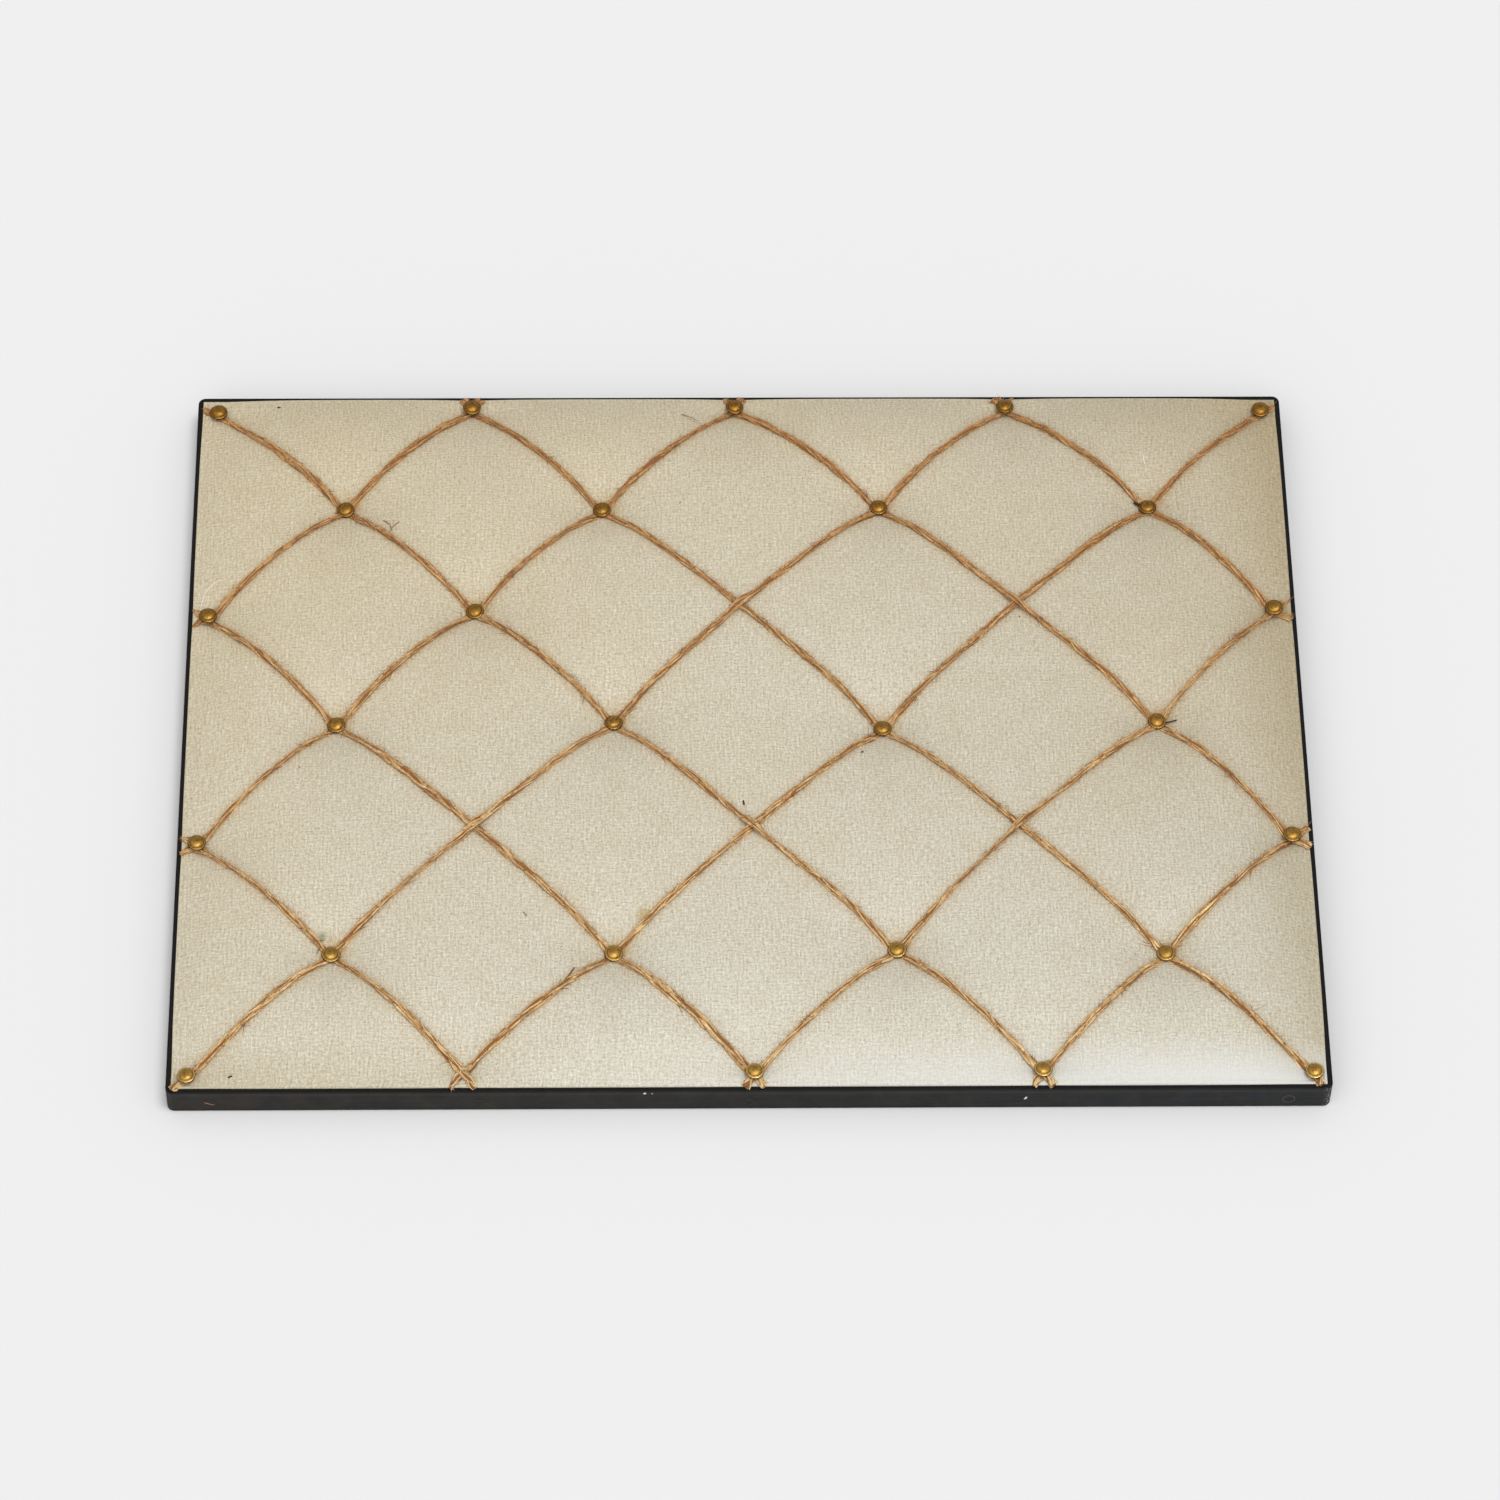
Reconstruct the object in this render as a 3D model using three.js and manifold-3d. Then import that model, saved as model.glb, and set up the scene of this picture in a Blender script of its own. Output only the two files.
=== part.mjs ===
// A padded memo board that lies on its back. A plywood panel carries a layer of wadding and a stretched
// linen cover. Twelve lengths of jute twine are woven across it in a diamond lattice, brass nails hold the
// lattice down, and four thin black strips frame the edge. Two ring hangers sit in the recess at the back.
// Millimetres. X runs along the board, Y towards its top edge and Z out of its face.

import * as THREE from 'three';
import { mergeVertices } from 'three/addons/utils/BufferGeometryUtils.js';
import Module from 'manifold-3d';

// Driving dimensions

const boardWidth = 610;
const boardDepth = 457.5;
const fitGap = 0.3;

const stripHeight = 17.5;
const stripThickness = 2.8;
const stripCornerRadius = 4;
const stripArris = 0.5;
const mitreGap = 0.3;

const backRecess = 5.5;
const panelThickness = 9;

const linenThickness = 0.7;
const linenHem = 24;
const waddingLeast = 0.8;
const waddingLoft = 17.5;
const edgeRoll = 2;
const edgeReach = 25;
const shoulderInset = 1.5;
const shoulderDrop = 1.4;
const nailPull = 0.82;
const nailReach = 30;
const twinePull = 0.08;
const twineReach = 12;

const latticeColumns = 8;
const latticeRows = 6;
const nailInset = 10.4;

const twineDiameter = 4;
const twinePinch = 1.5;
const twinePinchWidth = 5.8;
const twineCrossing = 3.2;
const twineCrossingWidth = 4.6;
const twineTuck = 1.2;
const tuckLift = 0.4;

const nailHeadDiameter = 9.5;
const nailHeadHeight = 2.9;
const nailHeadRim = 0.4;
const nailHollow = 1.2;
const nailSides = 10;
const domeSteps = 4;
const nailShankDiameter = 1.5;
const nailShankLength = 13;
const nailPoint = 2.5;

const stapleCrown = 3.6;
const stapleWire = 0.8;
const stapleLeg = 12;

const hangerSpread = 430;
const hangerDrop = 78;
const strapWidth = 12;
const strapLength = 34;
const strapThickness = 1;
const strapCurl = 290;
const ringWire = 2.2;
const ringWidth = 17;
const ringReach = 12;
const ringCorner = 2;
const ringDroop = 6.5;
const ringPlay = 0.25;
const ringSides = 8;
const ringBowSteps = 12;
const ringCornerSteps = 3;
const screwPlaces = [18, 28];
const screwHeadDiameter = 6;
const screwHeadHeight = 1.6;
const screwHeadFlat = 3.6;
const screwHeadEdge = 0.8;
const screwSides = 10;
const screwDiameter = 2.8;
const screwLength = 7;
const screwPoint = 2;
const punchSides = 4;

// Where each crossing sits off the regular lattice, row by row from the top edge, as the board was nailed by hand

const crossingDrift = [
  [[1.5, -2], [-3.5, -0.5], [-3, -0.5], [2, -0.5], [-1, -1.5]],
  [[1, -0.5], [-4, -1], [2.5, 0], [5, 0]],
  [[1, 1.5], [0, 2.5], [-2, -1], [2.5, -0.5], [-2, 5]],
  [[-0.5, -0.5], [2.5, 0.5], [1, -4], [3, 0.5]],
  [[0.5, -2.5], [1.5, -1], [3, -1.5], [-1.5, -1], [-1.5, 0.5]],
  [[0.5, -2], [2.5, -2], [5, -0.5], [0, -3]],
  [[0.5, -1], [-2.5, 1], [2.5, -1], [6, -0.5], [1, -1]],
];

// Crossings that have no nail: five are left free, and a staple holds the one at the near edge

const freeCrossings = ['4,2', '6,2', '2,4', '4,4', '6,4'];
const stapledCrossing = '2,6';

// Sizes that follow from the driving dimensions

const innerWidth = boardWidth - 2 * stripThickness;
const innerDepth = boardDepth - 2 * stripThickness;
const panelTop = backRecess + panelThickness;
const waddingFloor = panelTop + fitGap;
const linenFloor = waddingFloor + waddingLeast + fitGap + linenThickness;
const shoulderTop = linenFloor - shoulderDrop;
const panelInset = fitGap + linenThickness + fitGap;
const nailHeadRadius = nailHeadDiameter / 2;
const nailShankRadius = nailShankDiameter / 2;
const flatReach = nailHeadRadius + 2 * fitGap;
const ringWireRadius = ringWire / 2;
const curlInner = ringWireRadius + ringPlay;
const curlOuter = curlInner + strapThickness;
const pinHeight = backRecess - fitGap - curlOuter;

const wasm = await Module();
wasm.setup();

// Solids and their materials

function solidOf(geometry) {
  const bare = geometry.clone();
  bare.deleteAttribute('normal');
  bare.deleteAttribute('uv');
  const merged = mergeVertices(bare, 1e-5);
  const vertProperties = new Float32Array(merged.attributes.position.array);
  const triVerts = new Uint32Array(merged.index.array);
  return new wasm.Manifold(new wasm.Mesh({ numProp: 3, vertProperties, triVerts }));
}

function geometryOf(solid) {
  const mesh = solid.getMesh();
  const geometry = new THREE.BufferGeometry();
  geometry.setAttribute('position', new THREE.BufferAttribute(new Float32Array(mesh.vertProperties), 3));
  geometry.setIndex(new THREE.BufferAttribute(new Uint32Array(mesh.triVerts), 1));
  geometry.computeVertexNormals();
  return geometry;
}

function finish(color, roughness, metalness) {
  return () => new THREE.MeshStandardMaterial({ color, roughness, metalness });
}

const blackPaint = finish(0x343331, 0.5, 0);
const plywood = finish(0xc9a97a, 0.8, 0);
const polyester = finish(0xf1efe9, 1, 0);
const linen = finish(0xcfc3a8, 0.95, 0);
const jute = finish(0xb98a57, 0.95, 0);
const agedBrass = finish(0x8a6a2c, 0.42, 1);
const zincSteel = finish(0xb9bcbf, 0.35, 1);

const board = new THREE.Group();

function addPart(name, geometry, material, parent = board) {
  const mesh = new THREE.Mesh(geometry, material());
  mesh.name = name;
  parent.add(mesh);
  return mesh;
}

function boxSolid(width, depth, low, high) {
  const box = new THREE.BoxGeometry(width, depth, high - low);
  return solidOf(box.translate(0, 0, (low + high) / 2));
}

// An upright prism whose flats clear a round pin of the given radius

function punch(x, y, radius, low, high) {
  const prism = new THREE.CylinderGeometry(1, 1, high - low, punchSides);
  const reach = (radius + fitGap) / Math.cos(Math.PI / punchSides);
  prism.scale(reach, 1, reach).rotateX(Math.PI / 2);
  return solidOf(prism.translate(x, y, (low + high) / 2));
}

// Frame strips, cut with mitres from one band with rounded corners

function roundedRectangle(width, depth, radius) {
  const x = width / 2 - radius;
  const y = depth / 2 - radius;
  const outline = new THREE.Shape();
  outline.absarc(x, -y, radius, -Math.PI / 2, 0);
  outline.absarc(x, y, radius, 0, Math.PI / 2);
  outline.absarc(-x, y, radius, Math.PI / 2, Math.PI);
  outline.absarc(-x, -y, radius, Math.PI, Math.PI * 1.5);
  return outline;
}

function frameBand() {
  const outline = roundedRectangle(boardWidth, boardDepth, stripCornerRadius);
  const block = new THREE.ExtrudeGeometry(outline, {
    depth: stripHeight - 2 * stripArris,
    bevelThickness: stripArris,
    bevelSize: stripArris,
    bevelOffset: -stripArris,
    bevelSegments: 2,
    curveSegments: 5,
  });
  const opening = boxSolid(innerWidth, innerDepth, -fitGap, stripHeight + fitGap);
  return solidOf(block.translate(0, 0, stripArris)).subtract(opening);
}

// A wedge between two corner diagonals, for the side of the band that faces the given turn

function mitreWedge(length, depth, turn) {
  const reach = 4 * stripThickness;
  const half = length / 2 - mitreGap / Math.SQRT2;
  const edge = depth / 2;
  const wedge = new THREE.Shape();
  wedge.moveTo(-half - reach, -edge - reach);
  wedge.lineTo(half + reach, -edge - reach);
  wedge.lineTo(half - reach, -edge + reach);
  wedge.lineTo(-half + reach, -edge + reach);
  const prism = new THREE.ExtrudeGeometry(wedge, { depth: stripHeight * 2, bevelEnabled: false });
  return solidOf(prism.translate(0, 0, -stripHeight / 2).rotateZ(turn));
}

function addFrame() {
  const band = frameBand();
  const sides = [
    ['frame_strip_bottom', boardWidth, boardDepth, 0],
    ['frame_strip_right', boardDepth, boardWidth, Math.PI / 2],
    ['frame_strip_top', boardWidth, boardDepth, Math.PI],
    ['frame_strip_left', boardDepth, boardWidth, -Math.PI / 2],
  ];
  for (const [name, length, depth, turn] of sides) {
    addPart(name, geometryOf(band.intersect(mitreWedge(length, depth, turn))), blackPaint);
  }
}

// The lattice: column and row count half diamonds, and twines cross where their sum is even

function crossingPlace(column, row) {
  const stepX = (boardWidth - 2 * nailInset) / latticeColumns;
  const stepY = (boardDepth - 2 * nailInset) / latticeRows;
  const [driftX, driftY] = crossingDrift[row][(column - (row % 2)) / 2];
  const x = -boardWidth / 2 + nailInset + stepX * column + driftX;
  const y = boardDepth / 2 - nailInset - stepY * row + driftY;
  return new THREE.Vector2(x, y);
}

function isCrossing(column, row) {
  return (column + row) % 2 === 0;
}

// A crossing, or the middle of a diamond between the crossings beside it

function latticePlace(column, row) {
  if (isCrossing(column, row)) return crossingPlace(column, row);
  const beside = [];
  const onSide = column === 0 || column === latticeColumns;
  const onEnd = row === 0 || row === latticeRows;
  if (!onSide) beside.push(crossingPlace(column - 1, row), crossingPlace(column + 1, row));
  if (!onEnd) beside.push(crossingPlace(column, row - 1), crossingPlace(column, row + 1));
  const middle = new THREE.Vector2();
  for (const place of onSide || onEnd ? beside.slice(0, 2) : beside) middle.add(place);
  return middle.divideScalar(onSide || onEnd ? 2 : 4);
}

function allCrossings() {
  const crossings = [];
  for (let row = 0; row <= latticeRows; row += 1) {
    for (let column = row % 2; column <= latticeColumns; column += 2) {
      const key = `${column},${row}`;
      crossings.push({ column, row, key, place: crossingPlace(column, row), free: freeCrossings.includes(key) });
    }
  }
  return crossings;
}

const crossings = allCrossings();

// The way that a twine heads from each of its crossings, with the last heading kept at its end

function headingsOf(run) {
  const headings = [];
  for (let i = 1; i < run.length; i += 1) {
    headings.push(run[i].place.clone().sub(run[i - 1].place).normalize());
  }
  headings.push(headings[headings.length - 1]);
  return headings;
}

function acrossOf(heading) {
  return new THREE.Vector2(heading.y, -heading.x);
}

// Each twine runs from edge to edge: falling ones go down to the right, rising ones down to the left

function allTwines() {
  const twines = [];
  for (const falling of [true, false]) {
    const lean = falling ? 1 : -1;
    const starts = crossings.filter(({ column, row }) => row === 0 || column === (falling ? 0 : latticeColumns));
    for (const start of starts) {
      const run = [];
      const inside = (column, row) => column >= 0 && column <= latticeColumns && row <= latticeRows;
      for (let step = 0; inside(start.column + lean * step, start.row + step); step += 1) {
        const key = `${start.column + lean * step},${start.row + step}`;
        run.push(crossings.find((crossing) => crossing.key === key));
      }
      if (run.length > 1) twines.push({ falling, run, headings: headingsOf(run) });
    }
  }
  return twines;
}

const twines = allTwines();

// In a plain weave the falling twine is on top at every second crossing

function isOnTop(crossing, falling) {
  const fallingOnTop = ((crossing.column + crossing.row) / 2) % 2 === 0;
  return fallingOnTop === falling;
}

function twinesAt(crossing) {
  return twines.filter(({ run }) => run.includes(crossing));
}

// The padded face: full loft in the open, drawn down at the edge, along the twines and under each fastener

function segmentDistance(point, start, end) {
  const along = end.clone().sub(start);
  const share = point.clone().sub(start).dot(along) / along.lengthSq();
  return start.clone().addScaledVector(along, THREE.MathUtils.clamp(share, 0, 1)).distanceTo(point);
}

function twineDistance(point, run) {
  let least = Infinity;
  for (let i = 1; i < run.length; i += 1) {
    least = Math.min(least, segmentDistance(point, run[i - 1].place, run[i].place));
  }
  return least;
}

function loftShare(point) {
  const rise = (distance) => 1 - Math.exp(-(distance + edgeRoll) / edgeReach);
  let share = rise(innerWidth / 2 - Math.abs(point.x)) * rise(innerDepth / 2 - Math.abs(point.y));
  for (const { place, free } of crossings) {
    if (!free) share *= 1 - nailPull * Math.exp(-place.distanceTo(point) / nailReach);
  }
  for (const { run } of twines) {
    share *= 1 - twinePull * Math.exp(-twineDistance(point, run) / twineReach);
  }
  return share;
}

function linenTop(point) {
  return linenFloor + waddingLoft * loftShare(point);
}

// The square hole that a fastener's shank or legs pass through, one corner on each way out along the twines

function holeRadius({ free, key }) {
  if (free) return 0;
  const clear = key === stapledCrossing ? stapleCrown / 2 : nailShankRadius;
  return (clear + fitGap) * Math.SQRT2;
}

function holeWays(crossing) {
  const ways = twinesAt(crossing).flatMap(({ run, headings }) => {
    const i = run.indexOf(crossing);
    return [headings[i], headings[Math.max(i - 1, 0)].clone().negate()];
  });
  if (ways.length === 2) ways.push(acrossOf(ways[0]), acrossOf(ways[1]));
  return ways.sort((a, b) => a.angle() - b.angle());
}

function holeCorner(crossing, way) {
  return crossing.place.clone().addScaledVector(way, holeRadius(crossing));
}

// A mesh in the making: corners are added by place, faces by the numbers of their corners

function newMesh() {
  const places = [];
  const index = [];
  const vertex = (point, height) => places.push([point.x, point.y, height]) - 1;
  const face = (a, b, c) => index.push(a, b, c);
  const geometry = () => {
    const built = new THREE.BufferGeometry();
    built.setAttribute('position', new THREE.Float32BufferAttribute(places.flat(), 3));
    built.setIndex(index);
    return built;
  };
  return { places, index, vertex, face, geometry };
}

function turnOf(a, b, c) {
  return (b.x - a.x) * (c.y - a.y) - (b.y - a.y) * (c.x - a.x);
}

function midway(a, b) {
  return a.clone().add(b).multiplyScalar(0.5);
}

// The rim of the lattice, anticlockwise from the near left corner, with the middle of each step

function latticeRim() {
  const sides = [[0, latticeRows, 1, 0], [latticeColumns, latticeRows, 0, -1], [latticeColumns, 0, -1, 0], [0, 0, 0, 1]];
  const rim = [];
  for (const [column, row, stepColumn, stepRow] of sides) {
    const steps = stepColumn ? latticeColumns : latticeRows;
    for (let i = 0; i < steps; i += 1) {
      const [hereColumn, hereRow] = [column + stepColumn * i, row + stepRow * i];
      const here = latticePlace(hereColumn, hereRow);
      const next = latticePlace(hereColumn + stepColumn, hereRow + stepRow);
      const crossing = crossings.find(({ key }) => key === `${hereColumn},${hereRow}`);
      const outward = new THREE.Vector2(-stepRow, -stepColumn);
      const cornered = i === 0 ? new THREE.Vector2(Math.sign(here.x), Math.sign(here.y)).normalize() : outward;
      rim.push({ point: here, outward: cornered, corner: i === 0, crossing });
      rim.push({ point: midway(here, next), outward, corner: false });
    }
  }
  return rim.map((spot, step) => ({ ...spot, step }));
}

const rim = latticeRim();

// The spot's place on the rectangle that lies the given distance inside the frame

function atInset({ point, outward, corner }, distance) {
  const moved = point.clone();
  if (corner || outward.y === 0) moved.x = Math.sign(point.x) * (innerWidth / 2 - distance);
  if (corner || outward.x === 0) moved.y = Math.sign(point.y) * (innerDepth / 2 - distance);
  return moved;
}

// The lattice of diamonds as one surface with a hole at each fastener; gives the chain along its rim and the holes

function latticeSurface(mesh, { drop, facesUp, fine }) {
  const known = new Map();
  const corner = (point) => {
    const key = `${point.x.toFixed(4)} ${point.y.toFixed(4)}`;
    if (!known.has(key)) known.set(key, mesh.vertex(point, linenTop(point) - drop));
    return known.get(key);
  };
  const face = (a, b, c) => {
    const [second, third] = turnOf(a, b, c) > 0 === facesUp ? [b, c] : [c, b];
    mesh.face(corner(a), corner(second), corner(third));
  };

  // A quarter of a diamond: the twine runs between two crossings, the peak is the diamond's middle
  const slope = (from, to, peak) => {
    const heading = to.place.clone().sub(from.place).normalize();
    const start = holeCorner(from, heading);
    const end = holeCorner(to, heading.clone().negate());
    const mid = midway(from.place, to.place);
    const startSide = midway(from.place, peak);
    const endSide = midway(to.place, peak);
    face(startSide, mid, peak);
    face(mid, endSide, peak);
    if (!fine) {
      face(start, mid, startSide);
      face(mid, end, endSide);
      return;
    }
    const early = midway(from.place, mid);
    const late = midway(mid, to.place);
    face(start, early, startSide);
    face(early, mid, startSide);
    face(mid, late, endSide);
    face(late, end, endSide);
  };
  for (const { run } of twines) {
    for (let i = 1; i < run.length; i += 1) {
      const [from, to] = [run[i - 1], run[i]];
      slope(from, to, latticePlace(from.column, to.row));
      slope(from, to, latticePlace(to.column, from.row));
    }
  }

  // Between two corners of a hole the surface runs out towards the diamond beside it
  const holes = new Map();
  for (const crossing of crossings.filter(({ free }) => !free)) {
    const corners = holeWays(crossing).map((way) => holeCorner(crossing, way));
    holes.set(crossing.key, corners.map(corner));
    for (const [stepColumn, stepRow] of [[1, 0], [0, 1], [-1, 0], [0, -1]]) {
      const [column, row] = [crossing.column + stepColumn, crossing.row + stepRow];
      if (column < 0 || row < 0 || column > latticeColumns || row > latticeRows) continue;
      const side = midway(crossing.place, latticePlace(column, row));
      const [near, other] = [...corners].sort((a, b) => a.distanceTo(side) - b.distanceTo(side));
      face(near, side, other);
    }
  }
  const chain = rim.flatMap(({ point, outward, crossing, step }) => {
    if (!crossing || crossing.free) return [{ id: corner(point), step }];
    const onward = new THREE.Vector2(-outward.y, outward.x);
    const facing = holeWays(crossing).filter((way) => way.dot(outward) > -0.5);
    facing.sort((a, b) => a.dot(onward) - b.dot(onward));
    return facing.map((way, i) => ({ id: corner(holeCorner(crossing, way)), step: step + i / (facing.length + 1) }));
  });
  return { chain, holes };
}

// Rings round the pad: one that follows the padded face, one at a level, and one with the four corners only

function faceRing(mesh, distance, drop) {
  return rim.map((spot) => {
    const point = atInset(spot, distance);
    return { id: mesh.vertex(point, linenTop(point) - drop), step: spot.step };
  });
}

function levelRing(mesh, distance, height) {
  return rim.map((spot) => ({ id: mesh.vertex(atInset(spot, distance), height), step: spot.step }));
}

function cornerRing(mesh, distance, height) {
  const corners = rim.filter(({ corner }) => corner);
  return corners.map((spot) => ({ id: mesh.vertex(atInset(spot, distance), height), step: spot.step }));
}

// Faces between two rings of any number of corners, each ring in the order of its steps round the rim

function stitch(mesh, inner, outer, facesIn) {
  const at = (ring, i) => ring[i % ring.length].id;
  const face = (a, b, c) => (facesIn ? mesh.face(a, c, b) : mesh.face(a, b, c));
  const stepAt = (ring, i) => (i > ring.length ? Infinity : ring[i % ring.length].step + (i === ring.length ? rim.length : 0));
  let [i, j] = [0, 0];
  while (i < inner.length || j < outer.length) {
    if (stepAt(inner, i + 1) <= stepAt(outer, j + 1)) {
      face(at(inner, i), at(outer, j), at(inner, i + 1));
      i += 1;
    } else {
      face(at(inner, i), at(outer, j), at(outer, j + 1));
      j += 1;
    }
  }
}

function stitchAll(mesh, rings, facesIn = false) {
  for (let i = 1; i < rings.length; i += 1) stitch(mesh, rings[i - 1], rings[i], facesIn);
}

function holeWall(mesh, upper, lower) {
  for (let i = 0; i < upper.length; i += 1) {
    const next = (i + 1) % upper.length;
    mesh.face(upper[i], lower[next], lower[i]);
    mesh.face(upper[i], upper[next], lower[next]);
  }
}

// The linen: over the face, round the shoulder, down the panel's side and back under it as a hem

function linenMesh() {
  const mesh = newMesh();
  const outer = latticeSurface(mesh, { drop: 0, facesUp: true, fine: true });
  const inner = latticeSurface(mesh, { drop: linenThickness, facesUp: false, fine: false });
  const [outside, inside, hem] = [fitGap, fitGap + linenThickness, panelInset + linenHem];
  const hemTop = backRecess - fitGap;
  const hemEdge = cornerRing(mesh, hem, hemTop);
  stitchAll(mesh, [
    outer.chain,
    faceRing(mesh, outside + shoulderInset, 0),
    levelRing(mesh, outside, shoulderTop),
    cornerRing(mesh, outside, hemTop - linenThickness),
    cornerRing(mesh, hem, hemTop - linenThickness),
    hemEdge,
  ]);
  const lining = [
    inner.chain,
    faceRing(mesh, inside + shoulderInset, linenThickness),
    levelRing(mesh, inside, shoulderTop - fitGap),
    cornerRing(mesh, inside, hemTop),
    hemEdge,
  ];
  stitchAll(mesh, lining, true);
  for (const [key, corners] of outer.holes) holeWall(mesh, corners, inner.holes.get(key));
  return mesh;
}

// The wadding fills the linen, with its flat side on the panel

function waddingMesh() {
  const mesh = newMesh();
  const drop = linenThickness + fitGap;
  const { chain, holes } = latticeSurface(mesh, { drop, facesUp: true, fine: false });
  const base = cornerRing(mesh, panelInset, waddingFloor);
  const side = levelRing(mesh, panelInset, waddingFloor + fitGap);
  stitchAll(mesh, [chain, faceRing(mesh, panelInset + shoulderInset, drop), side, base]);
  const placeOf = (id) => new THREE.Vector2(...mesh.places[id]);
  const loops = [base.map(({ id }) => id)];
  for (const corners of holes.values()) {
    const lower = corners.map((id) => mesh.vertex(placeOf(id), waddingFloor));
    holeWall(mesh, corners, lower);
    loops.push(lower);
  }
  const [contour, ...openings] = loops.map((loop) => loop.map(placeOf));
  const ids = loops.flat();
  for (const corners of THREE.ShapeUtils.triangulateShape(contour, openings)) {
    const [a, b, c] = corners.map((i) => ids[i]);
    const facesDown = turnOf(placeOf(a), placeOf(b), placeOf(c)) < 0;
    mesh.face(a, facesDown ? b : c, facesDown ? c : b);
  }
  return mesh;
}

// The linen's own facets, which the twines rest on

const cover = linenMesh();

function upwardFacets({ places, index }) {
  const facets = [];
  for (let i = 0; i < index.length; i += 3) {
    const corners = index.slice(i, i + 3).map((id) => new THREE.Vector3(...places[id]));
    if (turnOf(...corners) > 0 && corners.every(({ z }) => z >= shoulderTop)) facets.push(corners);
  }
  return facets;
}

const linenFacets = upwardFacets(cover);

function linenSurface(point) {
  let highest = -Infinity;
  for (const [a, b, c] of linenFacets) {
    const shares = [turnOf(b, c, point), turnOf(c, a, point), turnOf(a, b, point)];
    if (Math.min(...shares) < 0) continue;
    highest = Math.max(highest, (shares[0] * a.z + shares[1] * b.z + shares[2] * c.z) / turnOf(a, b, c));
  }
  return Number.isFinite(highest) ? highest : linenTop(point);
}

// How high the middle of a twine lies at a point: its base and its sides clear the linen under them

function restingHeight(point, across, width, thickness) {
  const beside = (share) => linenSurface(point.clone().addScaledVector(across, (share * width) / 2));
  const underBase = Math.max(beside(-0.5), beside(0), beside(0.5));
  const underSides = Math.max(beside(-1), beside(1)) - thickness / 2;
  return Math.max(underBase, underSides) + fitGap + thickness / 2;
}

function flatSize({ free }) {
  return free ? [twineCrossingWidth, twineCrossing] : [twinePinchWidth, twinePinch];
}

// How high the lower and the upper twine lie at a crossing; the lower one climbs on both sides of the upper one

function layerHeights(crossing) {
  const [width, thickness] = flatSize(crossing);
  const rests = twinesAt(crossing).map(({ run, headings }) => {
    const heading = headings[run.indexOf(crossing)];
    const restAt = (reach) => {
      const point = crossing.place.clone().addScaledVector(heading, reach);
      return restingHeight(point, acrossOf(heading), width, thickness);
    };
    return { middle: restAt(0), ends: Math.max(restAt(-flatReach), restAt(flatReach)) };
  });
  const lower = Math.max(...rests.map(({ middle }) => middle));
  const climb = Math.max(0, ...rests.map(({ ends }) => ends - lower)) / flatReach;
  const lift = Math.max((climb * width) / 4, (climb * width - thickness) / 2);
  const ends = Math.max(...rests.map((rest) => rest.ends));
  return { lower, upper: lower + thickness + fitGap + lift, ends };
}

// Where a fastener's head sits: clear of the stacked twines, also where they rise under its rim

function fastenerSeat(crossing) {
  const { lower, upper, ends } = layerHeights(crossing);
  const stacked = twinesAt(crossing).length > 1 ? upper : lower;
  return Math.max(stacked, ends) + twinePinch / 2 + fitGap;
}

const nailed = crossings.filter(({ free, key }) => !free && key !== stapledCrossing);
const stapled = crossings.find(({ key }) => key === stapledCrossing);
const stapleTop = fastenerSeat(stapled);

const nailPunches = nailed.map((crossing) => {
  const seat = fastenerSeat(crossing);
  const { x, y } = crossing.place;
  return { crossing, seat, hole: punch(x, y, nailShankRadius, seat - nailShankLength - fitGap, seat + fitGap) };
});

const staplePunches = [-1, 1].map((side) => {
  const x = stapled.place.x + side * (stapleCrown - stapleWire) / 2;
  return punch(x, stapled.place.y, stapleWire / 2, stapleTop - stapleLeg - fitGap, stapleTop + fitGap);
});

function drilled(solid, punches) {
  return punches.reduce((rest, hole) => rest.subtract(hole), solid);
}

const fastenerHoles = [...nailPunches.map(({ hole }) => hole), ...staplePunches];

// Panel, wadding and linen cover

function hangerPlaces() {
  const y = boardDepth / 2 - hangerDrop;
  return [['left', -hangerSpread / 2, y], ['right', hangerSpread / 2, y]];
}

function screwHoles() {
  const high = backRecess + screwLength;
  return hangerPlaces().flatMap(([, x, y]) => (
    screwPlaces.map((place) => punch(x, y - place, screwDiameter / 2, 0, high))
  ));
}

function addPadding() {
  const width = innerWidth - 2 * panelInset;
  const depth = innerDepth - 2 * panelInset;
  const panel = boxSolid(width, depth, backRecess, panelTop);
  addPart('backing_panel', geometryOf(drilled(panel, [...fastenerHoles, ...screwHoles()])), plywood);

  addPart('wadding_layer', geometryOf(solidOf(waddingMesh().geometry())), polyester);
  addPart('linen_cover', geometryOf(solidOf(cover.geometry())), linen);
}

// Twine: six-sided, round in the open, flat under a nail, and pinched where its end is tucked in at the frame

function twineStation(point, height, width, thickness, across) {
  return { point, height, half: width / 2, rise: thickness / 2, across };
}

function twineGeometry(stations) {
  const corners = [[1, 0], [0.5, 1], [-0.5, 1], [-1, 0], [-0.5, -1], [0.5, -1]];
  const mesh = newMesh();
  const rings = stations.map(({ point, height, half, rise, across }) => corners.map(([side, up]) => (
    mesh.vertex(point.clone().addScaledVector(across, half * side), height + rise * up)
  )));
  for (let ring = 1; ring < rings.length; ring += 1) {
    for (let i = 0; i < corners.length; i += 1) {
      const next = (i + 1) % corners.length;
      const [before, after] = [rings[ring - 1], rings[ring]];
      mesh.face(before[i], after[next], before[next]);
      mesh.face(before[i], after[i], after[next]);
    }
  }
  const [first, last] = [rings[0], rings[rings.length - 1]];
  for (let i = 1; i < corners.length - 1; i += 1) {
    mesh.face(first[0], first[i], first[i + 1]);
    mesh.face(last[0], last[i + 1], last[i]);
  }
  return mesh.geometry();
}

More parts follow.
